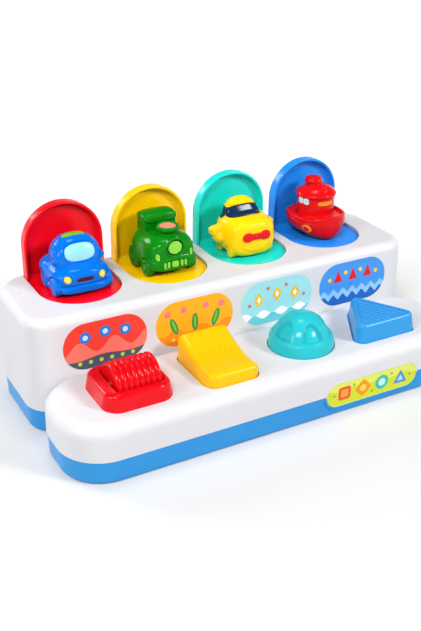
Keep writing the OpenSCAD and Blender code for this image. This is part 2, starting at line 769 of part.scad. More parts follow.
// Outline seen from the front, run through a figure's front half
module from_front(l) rotate([90, 0, 0]) linear_extrude(l) children();

// Skin of a loft, as thick as a pad, outside it or inside it
module skin(rows, l, w, h, n, p, grow) difference() {
    loft(sized(rows, l + 2 * max(grow, 0), w + 2 * max(grow, 0), h + max(grow, 0)), n, p);
    loft(sized(rows, l + 2 * min(grow, 0), w + 2 * min(grow, 0), h + min(grow, 0)), n, p);
}

module rounded_pane(w, h, r) rounded_rect(w, h, r, $fn = 32);

car_body = [[-0.49, 0.5, 0.13, 0.29, 0.41], [-0.46, 0.74, 0.07, 0.29, 0.46], [-0.38, 0.9, 0.03, 0.28, 0.5],
    [-0.24, 0.98, 0.02, 0.27, 0.54], [0, 1, 0.02, 0.26, 0.57], [0.25, 0.98, 0.02, 0.26, 0.56],
    [0.42, 0.88, 0.04, 0.26, 0.5], [0.5, 0.6, 0.1, 0.26, 0.4]];
car_cabin = [[-0.27, 0.4, 0.4, 0.56, 0.66], [-0.24, 0.56, 0.4, 0.56, 0.8], [-0.15, 0.7, 0.4, 0.56, 0.92],
    [0, 0.77, 0.4, 0.56, 0.99], [0.14, 0.78, 0.4, 0.56, 1], [0.28, 0.72, 0.4, 0.56, 0.95],
    [0.39, 0.58, 0.4, 0.54, 0.82], [0.45, 0.36, 0.42, 0.52, 0.64]];
car_bumper = [[-0.5, 0.6, 0.06, 0.11, 0.16], [-0.49, 0.78, 0.03, 0.11, 0.18],
    [-0.42, 0.94, 0.02, 0.11, 0.19], [-0.25, 1, 0.02, 0.11, 0.19], [0.2, 1, 0.02, 0.11, 0.19]];

module car_figure() color("#0a6be6") on_floor(0) {
    difference() {
        union() {
            loft(sized(car_body, car_len, car_w, car_h), 24, 3);
            loft(sized(car_cabin, car_len, car_w, car_h), 24, 2.4);
            loft(sized(car_bumper, car_len, car_w, car_h), 20, 3);
        }
        intersection() {
            skin(car_body, car_len, car_w, car_h, 24, 3, -pad_t);
            translate([0, 0, 0.3 * car_h]) from_front(car_len)
                square([0.28 * car_w, 0.08 * car_h], center = true);
        }
    }
    intersection() {
        skin(car_cabin, car_len, car_w, car_h, 24, 2.4, pad_t);
        translate([0, 0, 0.73 * car_h]) from_front(car_len)
            rounded_pane(0.5 * car_w, 0.31 * car_h, 0.15 * car_h);
    }
    intersection() {
        skin(car_body, car_len, car_w, car_h, 24, 3, pad_t);
        for (sx = [-1, 1]) translate([sx * 0.29 * car_w, 0, 0.34 * car_h]) from_front(car_len)
            circle(0.08 * car_h, $fn = 24);
    }
    intersection() {
        skin(car_cabin, car_len, car_w, car_h, 24, 2.4, pad_t);
        translate([0, 0.08 * car_len, 0.8 * car_h]) linear_extrude(car_h)
            rounded_pane(0.39 * car_w, 0.13 * car_len, 0.06 * car_len);
    }
    wheels(car_w + pad_t, -0.24 * car_len, 0.17 * car_h);
    wheels(car_w + pad_t, 0.26 * car_len, 0.17 * car_h);
    pegs();
}

train_body = [[-0.51, 0.45, 0.12, 0.32, 0.52], [-0.48, 0.68, 0.06, 0.31, 0.58], [-0.4, 0.86, 0.03, 0.3, 0.62],
    [-0.25, 0.95, 0.02, 0.3, 0.65], [0, 0.97, 0.02, 0.3, 0.66], [0.3, 0.97, 0.02, 0.3, 0.66],
    [0.42, 0.9, 0.03, 0.3, 0.62], [0.47, 0.7, 0.08, 0.3, 0.5]];
train_bumper = [[-0.54, 0.6, 0.13, 0.24, 0.33], [-0.52, 0.8, 0.08, 0.24, 0.36],
    [-0.45, 0.93, 0.05, 0.24, 0.38], [-0.34, 0.98, 0.03, 0.24, 0.38], [-0.1, 0.94, 0.03, 0.24, 0.38]];
train_cab = [[0.1, 0.6, 0.4, 0.6, 0.86], [0.12, 0.66, 0.4, 0.6, 0.9], [0.4, 0.66, 0.4, 0.6, 0.9],
    [0.43, 0.6, 0.4, 0.6, 0.86]];
train_roof = [[0.05, 0.6, 0.84, 0.89, 0.93], [0.08, 0.73, 0.81, 0.89, 0.97], [0.26, 0.77, 0.81, 0.89, 1],
    [0.42, 0.73, 0.81, 0.89, 0.97], [0.45, 0.6, 0.84, 0.89, 0.93]];

module train_figure() color("#118a1d") on_floor(1) {
    loft(sized(train_body, train_len, train_w, train_h), 24, 2.8);
    loft(sized(train_bumper, train_len, train_w, train_h), 24, 3);
    loft(sized(train_cab, train_len, train_w, train_h), 20, 6);
    loft(sized(train_roof, train_len, train_w, train_h), 20, 3);
    translate([0, -0.19 * train_len, 0.55 * train_h]) train_chimney();
    translate([0, 0.08 * train_len - train_len / 2, 0.5 * train_h]) rotate([90, 0, 0]) train_lamp();
    intersection() {
        skin(train_body, train_len, train_w, train_h, 24, 2.8, pad_t);
        for (sx = [-1, 1]) translate([sx * 0.35 * train_w, 0, 0.4 * train_h]) from_front(train_len)
            rounded_pane(0.09 * train_w, 0.15 * train_h, 0.04 * train_w);
    }
    intersection() {
        skin(train_bumper, train_len, train_w, train_h, 24, 3, pad_t);
        translate([0, 0, 0.24 * train_h]) from_front(train_len) train_grille();
    }
    wheels(train_w, -0.3 * train_len, 0.15 * train_h);
    wheels(train_w, 0.25 * train_len, 0.19 * train_h);
    pegs();
}

// Flared cup with a shallow dish in its top
module train_chimney() rotate_extrude($fn = 40) polygon([[0, 0], [0.15, 0], [0.135, 0.09], [0.14, 0.14],
    [0.165, 0.18], [0.17, 0.22], [0.165, 0.255], [0.15, 0.265], [0.135, 0.25], [0, 0.25]] * train_h);

// Headlamp: a lens inside a raised ring, along its axis from the body
module train_lamp() rotate_extrude($fn = 40) polygon([[0, 0], [0.16, 0], [0.16, 0.06], [0.145, 0.085],
    [0.125, 0.085], [0.115, 0.07], [0.08, 0.085], [0, 0.095]] * train_h);

// Five bars of the bumper's grille, the middle one the widest
module train_grille() for (bar = [[-0.21, 0.045], [-0.13, 0.05], [0, 0.13], [0.13, 0.05], [0.21, 0.045]])
    translate([bar[0] * train_w, 0]) rounded_pane(bar[1] * train_w, 0.13 * train_h, 0.02 * train_w);

plane_body = [[-0.49, 0.36, 0.12, 0.36, 0.56], [-0.46, 0.52, 0.05, 0.36, 0.62],
    [-0.38, 0.64, 0.01, 0.35, 0.66], [-0.2, 0.7, 0, 0.34, 0.68], [0.05, 0.7, 0, 0.34, 0.7],
    [0.3, 0.64, 0.02, 0.35, 0.68],
    [0.44, 0.44, 0.1, 0.38, 0.6], [0.5, 0.24, 0.2, 0.4, 0.52]];
plane_cabin = [[0, 0.45, 0.5, 0.62, 0.68], [0.06, 0.54, 0.5, 0.62, 0.77], [0.14, 0.55, 0.5, 0.62, 0.9],
    [0.24, 0.52, 0.5, 0.62, 0.98], [0.33, 0.46, 0.5, 0.6, 1], [0.42, 0.34, 0.5, 0.58, 0.88],
    [0.47, 0.2, 0.5, 0.56, 0.7]];
plane_wing = [[0, 0.86, 0.31, 0.37, 0.43], [0.04, 1, 0.27, 0.37, 0.46], [0.22, 1, 0.27, 0.37, 0.46],
    [0.3, 0.86, 0.31, 0.37, 0.43]];
plane_pod = [[-0.04, 0.4, 0.35, 0.5, 0.65], [0, 0.8, 0.15, 0.5, 0.85], [0.12, 1, 0, 0.5, 1],
    [0.28, 0.8, 0.15, 0.5, 0.85], [0.34, 0.4, 0.35, 0.5, 0.65]];

module plane_figure() color("#fdd30c") on_floor(2) {
    loft(sized(plane_body, plane_len, plane_w, plane_h), 24, 3);
    loft(sized(plane_cabin, plane_len, plane_w, plane_h), 24, 2.6);
    loft(sized(plane_wing, plane_len, plane_w, plane_h), 20, 4);
    for (sx = [-1, 1]) translate([sx * 0.39 * plane_w, 0, 0.15 * plane_h])
        loft(sized(plane_pod, plane_len, 0.2 * plane_w, 0.24 * plane_h), 16, 2);
    intersection() {
        skin(plane_cabin, plane_len, plane_w, plane_h, 24, 2.6, pad_t);
        translate([0, plane_len / 4, 0.78 * plane_h]) from_front(plane_len)
            rounded_pane(plane_w, 0.16 * plane_h, 0.06 * plane_h);
    }
    intersection() {
        skin(plane_body, plane_len, plane_w, plane_h, 24, 3, pad_t);
        translate([0, 0, 0.42 * plane_h]) from_front(plane_len) propeller();
    }
    wheels(0.7 * plane_w, -0.26 * plane_len, 0.1 * plane_h);
    wheels(0.7 * plane_w, 0.24 * plane_len, 0.1 * plane_h);
    pegs();
}

// Two round blades on a waist
module propeller() {
    blade = 0.09 * plane_h;
    for (sx = [-1, 1]) translate([sx * (0.21 * plane_w - blade), 0]) circle(blade, $fn = 32);
    square([0.42 * plane_w - 2 * blade, 1.1 * blade], center = true);
}

boat_hull = [[-0.47, 0.1, 0.3, 0.4, 0.43], [-0.43, 0.36, 0.13, 0.39, 0.43], [-0.33, 0.66, 0.05, 0.38, 0.42],
    [-0.15, 0.91, 0.01, 0.37, 0.41], [0.1, 1, 0, 0.37, 0.41], [0.3, 0.97, 0, 0.37, 0.41],
    [0.43, 0.84, 0.04, 0.38, 0.42], [0.5, 0.6, 0.14, 0.39, 0.42]];

module boat_figure() color("#d5141c") on_floor(3) {
    difference() {
        loft(sized(boat_hull, boat_len, boat_w, boat_h), 28, 2.2);
        translate([0, 0, 0.37 * boat_h]) linear_extrude(boat_h) scale([1 - 2 * gunwale_w / boat_w,
            1 - 2 * gunwale_w / boat_len]) boat_plan();
        translate([-boat_w, -boat_len, -boat_h]) cube([2 * boat_w, 2 * boat_len, boat_h]);
    }
    translate([0, 0.16 * boat_len, 0]) {
        translate([0, 0, 0.3 * boat_h]) cylinder(r = 0.34 * boat_w, h = 0.42 * boat_h);
        translate([0, 0, 0.7 * boat_h]) boat_roof();
        translate([0, 0.11 * boat_len, 0.8 * boat_h]) boat_funnel();
        translate([0, -0.17 * boat_len, 0.78 * boat_h])
            cylinder(r = 0.1 * boat_w, h = 0.07 * boat_h, $fn = 32);
        translate([0, 0, 0.62 * boat_h]) difference() {
            intersection() {
                cylinder(r = 0.34 * boat_w + pad_t, h = 0.07 * boat_h);
                union() {
                    for (sx = [-1, 1], sy = [-1, 1]) translate([sx * boat_w / 2, sy * 0.09 * boat_len, 0])
                        cube([boat_w / 2, 0.11 * boat_len, boat_h], center = true);
                    translate([0, -boat_len / 2, 0])
                        cube([0.38 * boat_w, boat_len / 2, boat_h], center = true);
                }
            }
            translate([0, 0, -over]) cylinder(r = 0.34 * boat_w - over, h = boat_h);
        }
    }
    intersection() {
        skin(boat_hull, boat_len, boat_w, boat_h, 28, 2.2, pad_t);
        translate([-boat_w, -0.17 * boat_len, 0.23 * boat_h]) rotate([0, 90, 0])
            tube(0.075 * boat_h, 0.045 * boat_h, 2 * boat_w, $fn = 32);
    }
    pegs();
}

// The hull's outline seen from above, at its widest
module boat_plan() polygon(concat([for (r = boat_hull) [r[1] * boat_w / 2, r[0] * boat_len]],
    [for (k = [len(boat_hull) - 1:-1:0]) [-boat_hull[k][1] * boat_w / 2, boat_hull[k][0] * boat_len]]));

// Domed roof with a brim
module boat_roof() rotate_extrude() polygon([[0, 0], [0.35 * boat_w, 0], [0.37 * boat_w, 0.02 * boat_h],
    [0.375 * boat_w, 0.05 * boat_h], [0.35 * boat_w, 0.085 * boat_h], [0.27 * boat_w, 0.125 * boat_h],
    [0.16 * boat_w, 0.15 * boat_h], [0, 0.16 * boat_h]]);

// Funnel with a rounded cap
module boat_funnel() rotate_extrude($fn = 40) polygon([[0, 0], [0.14 * boat_w, 0],
    [0.13 * boat_w, 0.08 * boat_h], [0.16 * boat_w, 0.11 * boat_h], [0.165 * boat_w, 0.14 * boat_h],
    [0.15 * boat_w, 0.175 * boat_h], [0.11 * boat_w, 0.2 * boat_h], [0, 0.2 * boat_h]]);

// Roller

module roller_frame() color("#e8151f") difference() {
    union() {
        translate([key_xs[0], 0, 0]) leaning_block(frame_w, key_y - frame_d / 2, key_y + frame_d / 2,
            frame_corner, frame_corner, deck_h, deck_h + frame_h, frame_edge, frame_lean);
        translate([roller_x, key_y, deck_h - frame_plug]) linear_extrude(frame_plug + over)
            square([well_w + 2 * (plug_wall - plug_gap), well_d + 2 * (plug_wall - plug_gap)], center = true);
    }
    translate([roller_x, key_y, deck_h - frame_plug - over]) linear_extrude(frame_plug + frame_h + 2 * over)
        square([well_w, well_d], center = true);
    along_x(roller_x - well_w / 2 - axle_seat, key_y, deck_h + roller_z)
        cylinder(r = axle_r + press_gap, h = well_w + 2 * axle_seat);
}

// Drum turned with round ribs along its length
module roller_drum() color("#d9101a") {
    steps = roller_ribs * arc_steps;
    along_x(roller_x - roller_len / 2, key_y, deck_h + roller_z)
        rotate_extrude() polygon(concat([[axle_r + axle_gap, 0]],
            [for (k = [0:steps]) [roller_r - rib_depth + rib_depth * abs(sin(180 * k / arc_steps)),
                roller_len * k / steps]],
            [[axle_r + axle_gap, roller_len]]));
}

module roller_axle() color("#c9ccd0")
    along_x(roller_x - well_w / 2 - axle_seat + axle_play, key_y, deck_h + roller_z)
        cylinder(r = axle_r, h = well_w + 2 * (axle_seat - axle_play));

// Pressed keys

// Stem under a key, cut at 45 degrees to drive its latch plate
module key_foot() translate([0, foot_y + wedge_w / 2, 0]) rotate([90, 0, 0]) linear_extrude(wedge_w)
    polygon([[-wedge_w / 2, wedge_z - wedge_w / 2], [wedge_w / 2, wedge_z + wedge_w / 2],
        [wedge_w / 2, flange_top - sink], [-wedge_w / 2, flange_top - sink]]);

module spring_pocket() translate([0, key_y, flange_top - flange_t - over])
    cylinder(r = key_spring_r + key_spring_gap, h = flange_t + over + wall);

sag_half = square_d / 2 - square_draw - square_edge;
sag_r = (sag_half * sag_half + square_sag * square_sag) / (2 * square_sag);
square_tilt = atan((square_back_h - square_front_h) / (square_d - 2 * square_draw));

module square_key() color("#fdc70c") translate([key_xs[1], 0, 0]) {
    difference() {
        union() {
            hull() {
                for (sx = [-1, 1], sy = [-1, 1]) {
                    translate([sx * (square_w / 2 - square_corner),
                        key_y + sy * (square_d / 2 - square_corner), flange_top])
                        cylinder(r = square_corner, h = deck_h - flange_top, $fn = 32);
                    translate([sx * (square_w / 2 - square_draw - square_edge),
                        key_y + sy * (square_d / 2 - square_draw - square_edge),
                        deck_h + (sy > 0 ? square_back_h : square_front_h) - square_edge])
                        sphere(r = square_edge, $fn = 24);
                }
            }
            translate([0, key_y, flange_top - flange_t]) linear_extrude(flange_t)
                rounded_rect(square_w + 2 * key_gap + 2 * flange_reach,
                    square_d + 2 * key_gap + 2 * flange_reach, square_corner);
        }
        translate([-square_w, key_y, deck_h + (square_back_h + square_front_h) / 2])
            rotate([square_tilt, 0, 0]) translate([0, 0, sag_r - square_sag]) rotate([0, 90, 0])
                cylinder(r = sag_r, h = 2 * square_w, $fn = 96);
        spring_pocket();
    }
    key_foot();
}

module key_spring(k) color("#8d9094") translate([key_xs[k], key_y, wall + spring_post_h])
    tube(key_spring_r, key_spring_r - key_spring_wire, flange_top - spring_post_h);

// Triangle, front side along X and apex at the back: its corner circles' centres
module tri_corners() {
    foot = tri_half - tri_corner;
    back = tri_d / 2 - tri_corner;
    for (p = [[-foot, -back], [foot, -back], [0, back]]) translate(p) children();
}

module tri_outline(grow) hull() tri_corners() circle(tri_corner + grow, $fn = 48);

module triangle_key() color("#2f86e8") translate([key_xs[3], 0, 0]) {
    difference() {
        union() {
            translate([0, key_y, flange_top]) hull() tri_corners() {
                cylinder(r = tri_corner, h = deck_h - flange_top, $fn = 32);
                translate([0, 0, deck_h + tri_h - tri_edge - flange_top])
                    rotate_extrude($fn = 32) tri_top_profile();
            }
            translate([0, key_y, flange_top - flange_t]) linear_extrude(flange_t)
                tri_outline(key_gap + flange_reach);
        }
        translate([0, key_y, deck_h + tri_h - tri_sunk]) linear_extrude(tri_sunk + over)
            tri_outline(-tri_rim - tri_draw);
        spring_pocket();
    }
    translate([0, key_y, deck_h + tri_h - tri_sunk - sink]) tri_ribs();
    key_foot();
}

module tri_top_profile() polygon(concat([[0, 0]],
    [for (k = [0:arc_steps]) let (a = 90 * k / arc_steps)
        [tri_corner - tri_draw - tri_edge + tri_edge * cos(a), tri_edge * sin(a)]], [[0, tri_edge]]));

// Ribs parallel to the triangle's right side, clipped to the sunk panel
module tri_ribs() {
    slope = atan2(tri_d - 2 * tri_corner, tri_corner - tri_half);
    intersection() {
        linear_extrude(tri_sunk) tri_outline(sink - tri_rim - tri_draw);
        for (k = [0:tri_ribs - 1]) rotate([0, 0, slope]) translate([-tri_d, 2 * (k - 2) * tri_rib_w, 0])
            cube([2 * tri_d, tri_rib_w, tri_sunk]);
    }
}

// Dome

// Half an ellipse standing on the deck, drawn in all round by an amount
module dome_profile(drawn) polygon(concat([[0, deck_h]],
    [for (k = [0:2 * arc_steps]) let (a = 45 * k / arc_steps)
        [(dome_r - drawn) * cos(a), deck_h + (dome_h - drawn) * sin(a)]]));

module twist_dome() color("#1fc2bb") translate([key_xs[2], key_y, 0]) {
    flange_z = flange_top - flange_t;
    difference() {
        rotate_extrude() dome_profile(0);
        intersection() {
            rotate_extrude() difference() {
                dome_profile(-window_sunk);
                dome_profile(window_sunk);
            }
            for (k = [0:window_count - 1])
                rotate([0, 0, window_turn + 90 + 360 * (k + 0.5) / window_count]) window();
        }
    }
    translate([0, 0, flange_top]) cylinder(r = dome_r, h = deck_h - flange_top);
    translate([0, 0, flange_z]) cylinder(r = dome_flange_r, h = flange_t);
    translate([0, crank_r, latch_z + trip_gap]) cylinder(r = crank_pin_r, h = flange_z - latch_z);
}

// Window between two ribs of the dome: an arch from its foot up to its tip
module window() {
    foot_r = dome_r * sqrt(1 - pow(window_foot / dome_h, 2));
    half = foot_r * sin(180 / window_count - window_rib);
    rotate([90, 0, 90]) linear_extrude(dome_r + window_sunk) translate([0, deck_h + window_foot])
        polygon([for (k = [0:2 * arc_steps]) let (a = 90 * k / arc_steps)
            [half * cos(a), (window_tip - window_foot) * sin(a)]]);
}

// Ring on four pillars under the deck, which holds the dome by its flange
module dome_ring() color("#e6e6e6") translate([key_xs[2], key_y, 0]) {
    ring_top = flange_top - flange_t - flange_gap;
    translate([0, 0, ring_top - ring_t]) tube(dome_flange_r + ring_w, dome_flange_r - ring_hold, ring_t);
    for (a = [45:90:315]) rotate([0, 0, a]) translate([dome_flange_r + ring_w / 2, 0, ring_top - sink])
        cylinder(r = pillar_r, h = deck_under - ring_top + sink);
}

// Latch plates

module latch_plate(i) {
    x = bay_xs[i];
    slot_r = guide_r + guide_gap;
    difference() {
        translate([x - latch_w / 2, latch_front, latch_z]) cube([latch_w, latch_back - latch_front, latch_t]);
        for (y = guide_ys) translate([x, y, latch_z - over]) linear_extrude(latch_t + 2 * over)
            pill(2 * (slot_r + latch_travel + slot_play), 2 * slot_r);
        if (i == 2) translate([key_xs[2], foot_y, latch_z - over]) linear_extrude(latch_t + 2 * over)
            square(2 * [crank_pin_r + trip_gap, crank_pin_r + crank_swing + trip_gap], center = true);
    }
    translate([x - nose_w / 2, 0, 0]) rotate([90, 0, 90]) linear_extrude(nose_w)
        polygon([[latch_back - nose_len, latch_top - sink], [latch_back, latch_top - sink],
            [latch_back, nose_z], [latch_back - nose_tip, nose_z]]);
}

// Block on a plate, cut at 45 degrees under a pressed key's foot
module latch_wedge(k) translate([key_xs[k], foot_y + wedge_w / 2, 0]) rotate([90, 0, 0])
    linear_extrude(wedge_w) polygon([[-wedge_w / 2, latch_top - sink], [wedge_w / 2, latch_top - sink],
        [wedge_w / 2, wedge_z + wedge_w / 2 - trip_gap], [-wedge_w / 2, wedge_z - wedge_w / 2 - trip_gap]]);

// Finger that stands behind the roller, clear of its turn
module latch_finger()
    translate([key_xs[0] - finger_w / 2, key_y + roller_r + trip_gap, latch_top - sink])
        cube([finger_w, finger_t, deck_h - frame_plug - latch_top]);

module latch(i) color("#dcdfe2") {
    latch_plate(i);
    if (i == 0) latch_finger();
    if (i == 1 || i == 3) latch_wedge(i);
}

module latch_spring(i) color("#8d9094")
    along_x(bay_xs[i] + latch_w / 2 + latch_spring_gap, latch_spring_y, latch_z + latch_t / 2)
        tube(latch_spring_r, latch_spring_r - latch_spring_wire, latch_spring_len - 2 * latch_spring_gap);

base_tray();
top_shell();
for (i = [0:3]) {
    tower_label(i);
    flap(i);
    hinge_pin(i);
    flap_spring(i);
}
front_label();
screw_pillars();
hinge_blocks();
car_figure();
train_figure();
plane_figure();
boat_figure();
roller_frame();
roller_drum();
roller_axle();
square_key();
key_spring(1);  // square_key_spring
twist_dome();
dome_ring();
triangle_key();
key_spring(3);  // triangle_key_spring
for (i = [0:3]) {
    latch(i);
    latch_spring(i);
}
guide_screws();
base_screws();
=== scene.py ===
# Pop-up toy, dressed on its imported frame. Metres, +Z up, the keys face -Y.
# Shapes are worked out in millimetres and scaled when a piece is finished.

import json
import math
from collections import namedtuple

import bmesh
import bpy
import numpy as np
from mathutils import Matrix, Vector
from mathutils.bvhtree import BVHTree


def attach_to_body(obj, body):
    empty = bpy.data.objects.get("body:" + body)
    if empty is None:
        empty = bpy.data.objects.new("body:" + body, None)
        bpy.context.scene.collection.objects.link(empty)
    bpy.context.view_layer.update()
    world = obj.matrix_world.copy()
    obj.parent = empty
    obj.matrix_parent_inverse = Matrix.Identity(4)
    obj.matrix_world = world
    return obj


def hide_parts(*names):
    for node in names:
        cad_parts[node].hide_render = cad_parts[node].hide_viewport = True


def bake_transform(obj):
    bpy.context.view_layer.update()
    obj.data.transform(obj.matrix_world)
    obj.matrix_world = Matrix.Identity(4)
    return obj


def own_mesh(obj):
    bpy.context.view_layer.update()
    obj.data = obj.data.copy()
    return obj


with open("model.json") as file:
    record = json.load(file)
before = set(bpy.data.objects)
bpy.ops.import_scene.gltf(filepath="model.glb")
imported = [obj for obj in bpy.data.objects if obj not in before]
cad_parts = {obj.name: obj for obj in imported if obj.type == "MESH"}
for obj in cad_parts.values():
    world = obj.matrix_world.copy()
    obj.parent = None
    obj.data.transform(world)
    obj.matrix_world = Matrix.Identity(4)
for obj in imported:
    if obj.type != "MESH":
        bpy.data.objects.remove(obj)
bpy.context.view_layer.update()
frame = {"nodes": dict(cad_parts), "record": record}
scene = bpy.context.scene
scene.view_settings.view_transform = "Standard"

MM = 0.001
ROUND = 2 * math.pi
QUARTER = [math.radians(90 * k / 8) for k in range(9)]
COLOURS = ("red", "yellow", "teal", "blue")
BAY_XS = (-105.0, -35.0, 35.0, 105.0)
KEY_XS = (-105.0, -36.83, 32.944, 95.5)
ROLLER_X = -102.5
KEY_Y = -44.0
DECK_Z = 43.5
FLOOR_Z = 85.0
SKIRT_Z = 18.0
FIGURE_Y = 43.0
KEY_FOOT = 41.0


# Camera and lamps: each lamp is a soft box with a place, width, depth and power

CAMERA_AT = Vector((-319.2, -554.9, 380.1)) * MM
CAMERA_AIM = Vector((15.76, 63.46, 22.31)) * MM
LAMP_AIM = (0, 0.02, 0.08)
LAMPS = (("left_soft_box", (-1.9, -1.9, 2.8), 0.95, 0.75, 79.0),
         ("right_soft_box", (2.1, -2.4, 2.1), 0.95, 0.75, 98.0),
         ("top_soft_box", (0.2, 0.5, 3.6), 0.95, 0.75, 24.0),
         ("left_end_soft_box", (-3.5, -0.8, 1.9), 1.3, 1.3, 56.0),
         ("back_soft_box", (-2.0, 3.2, 1.9), 1.3, 1.3, 70.0))


def stand(name, data, place, target):
    """Put a camera or a lamp at a place, turned towards a point."""
    thing = bpy.data.objects.new(name, data)
    thing.location = place
    thing.rotation_euler = (Vector(target) - thing.location).to_track_quat("-Z", "Y").to_euler()
    scene.collection.objects.link(thing)
    return thing


camera = bpy.data.cameras.new("camera")
camera.sensor_width = 36
camera.lens = 54.54
camera.clip_start = 0.01
scene.camera = stand("camera", camera, CAMERA_AT, CAMERA_AIM)
for name, place, width, depth, watts in LAMPS:
    lamp = bpy.data.lights.new(name, "AREA")
    lamp.shape = "RECTANGLE"
    lamp.size = width
    lamp.size_y = depth
    lamp.energy = watts
    stand(name, lamp, place, LAMP_AIM)


# Materials

GRAIN_MM = 0.9
DOT_MM = 0.5
GLUE_MM = 6.0
CLOUD_MM = 3.0


def linear(code):
    """Linear RGBA of an sRGB hex colour."""
    channels = [int(code[i:i + 2], 16) / 255 for i in (1, 3, 5)]
    return [c / 12.92 if c <= 0.04045 else ((c + 0.055) / 1.055) ** 2.4 for c in channels] + [1.0]


def add_node(tree, kind, inputs=None, **settings):
    """Add a node with its settings; an input is a value or another node's output."""
    made = tree.nodes.new(kind)
    for name, value in settings.items():
        setattr(made, name, value)
    for key, value in (inputs or {}).items():
        if isinstance(value, bpy.types.NodeSocket):
            tree.links.new(value, made.inputs[key])
        else:
            made.inputs[key].default_value = value
    return made


def new_material(name):
    """Empty node material."""
    material = bpy.data.materials.new(name)
    material.use_nodes = True
    material.node_tree.nodes.clear()
    return material


def moulded_abs(name, colour, shade, roughness, flow_mm=30.0, sheen=0.18):
    """Injection-moulded ABS from a polished tool: an even colour with faint cloudy flow marks, a soft
    gloss that varies a little, and an orange-peel grain drawn coarser than the real one so that it shows."""
    material = new_material(name)
    tree = material.node_tree
    place = add_node(tree, "ShaderNodeTexCoord")
    flow = add_node(tree, "ShaderNodeTexNoise", {"Vector": place.outputs["Object"], "Detail": 3.0,
                                                 "Scale": 1 / (flow_mm * MM)})
    grain = add_node(tree, "ShaderNodeTexNoise", {"Vector": place.outputs["Object"], "Detail": 2.0,
                                                  "Scale": 1 / (GRAIN_MM * MM)})
    tint = add_node(tree, "ShaderNodeMix", {0: flow.outputs["Fac"], 6: linear(colour), 7: linear(shade)},
                    data_type="RGBA")
    gloss = add_node(tree, "ShaderNodeMapRange", {"Value": flow.outputs["Fac"], "To Min": roughness - 0.06,
                                                  "To Max": roughness + 0.06})
    peel = add_node(tree, "ShaderNodeBump", {"Height": grain.outputs["Fac"], "Strength": 0.05,
                                             "Distance": 0.1 * MM})
    shader = add_node(tree, "ShaderNodeBsdfPrincipled", {"Base Color": tint.outputs[2], "IOR": 1.53,
                                                         "Specular IOR Level": sheen,
                                                         "Roughness": gloss.outputs["Result"],
                                                         "Normal": peel.outputs["Normal"]})
    add_node(tree, "ShaderNodeOutputMaterial", {"Surface": shader.outputs["BSDF"]})
    return material


def printed_film(name, colour, shade):
    """Printed vinyl film under a clear laminate: ink laid in a fine dot screen, drawn coarse enough to
    show, with a satin gloss and a slight ripple of the glue below."""
    material = new_material(name)
    tree = material.node_tree
    place = add_node(tree, "ShaderNodeTexCoord")
    screen = add_node(tree, "ShaderNodeTexVoronoi", {"Vector": place.outputs["Object"],
                                                     "Scale": 1 / (DOT_MM * MM), "Randomness": 0.15})
    ink = add_node(tree, "ShaderNodeMapRange", {"Value": screen.outputs["Distance"], "From Max": 0.8})
    tint = add_node(tree, "ShaderNodeMix", {0: ink.outputs["Result"], 6: linear(colour), 7: linear(shade)},
                    data_type="RGBA")
    glue = add_node(tree, "ShaderNodeTexNoise", {"Vector": place.outputs["Object"],
                                                 "Scale": 1 / (GLUE_MM * MM)})
    ripple = add_node(tree, "ShaderNodeBump", {"Height": glue.outputs["Fac"], "Strength": 0.08,
                                               "Distance": 0.2 * MM})
    shader = add_node(tree, "ShaderNodeBsdfPrincipled", {"Base Color": tint.outputs[2], "Roughness": 0.38,
                                                         "Specular IOR Level": 0.11,
                                                         "Normal": ripple.outputs["Normal"]})
    add_node(tree, "ShaderNodeOutputMaterial", {"Surface": shader.outputs["BSDF"]})
    return material


def zinc_plate(name):
    """Zinc-plated steel: a bluish grey metal with a cloudy passivated sheen."""
    material = new_material(name)
    tree = material.node_tree
    place = add_node(tree, "ShaderNodeTexCoord")
    cloud = add_node(tree, "ShaderNodeTexNoise", {"Vector": place.outputs["Object"], "Detail": 4.0,
                                                  "Scale": 1 / (CLOUD_MM * MM)})
    tint = add_node(tree, "ShaderNodeMix", {0: cloud.outputs["Fac"], 6: linear("#b4b9bf"),
                                            7: linear("#989ea6")}, data_type="RGBA")
    gloss = add_node(tree, "ShaderNodeMapRange", {"Value": cloud.outputs["Fac"], "To Min": 0.25,
                                                  "To Max": 0.45})
    shader = add_node(tree, "ShaderNodeBsdfPrincipled", {"Base Color": tint.outputs[2], "Metallic": 1.0,
                                                         "Roughness": gloss.outputs["Result"]})
    add_node(tree, "ShaderNodeOutputMaterial", {"Surface": shader.outputs["BSDF"]})
    return material


MATERIALS = {
    "white_shell": moulded_abs("white_abs", "#d8d8db", "#d3d3d7", 0.3),
    "blue_base": moulded_abs("sky_blue_abs", "#3595d8", "#2e8fd3", 0.3),
    # Red and yellow lids are set brighter than their keys' copies below, to make up for the shade the
    # figures cast on them: partly their own colour, partly painted light.
    "red_plastic": moulded_abs("red_abs", "#f80a1c", "#f00518", 0.22),
    "yellow_plastic": moulded_abs("yellow_abs", "#ffcd08", "#fec403", 0.24),
    "teal_plastic": moulded_abs("teal_abs", "#1cdad2", "#16d0c9", 0.24),
    "blue_plastic": moulded_abs("blue_abs", "#248ff8", "#1c85f1", 0.24),
    "car_blue": moulded_abs("car_blue_abs", "#0074de", "#006ad4", 0.14, sheen=0.13),
    "train_green": moulded_abs("train_green_abs", "#0a8512", "#077b0e", 0.14, sheen=0.13),
    "plane_yellow": moulded_abs("plane_yellow_abs", "#ffd60a", "#fdca04", 0.18),
    "boat_red": moulded_abs("boat_red_abs", "#de1016", "#d40c11", 0.14, sheen=0.13),
    "printed_label": printed_film("label_film", "#9fd7e4", "#93cddc"),
    "strip_label": printed_film("strip_film", "#d5de3c", "#ccd632"),
    "inner_plastic": moulded_abs("natural_abs", "#dcdfe2", "#d2d6da", 0.45),
    "steel": zinc_plate("zinc_plated_steel"),
}
STEEL = MATERIALS["steel"]
# The keys take darker copies of the red and yellow plastics, because they catch more of the lamps than the
# lids that the figures shade: painted shade on the keys.
KEY_RED = moulded_abs("key_red_abs", "#e00a19", "#d60615", 0.16)
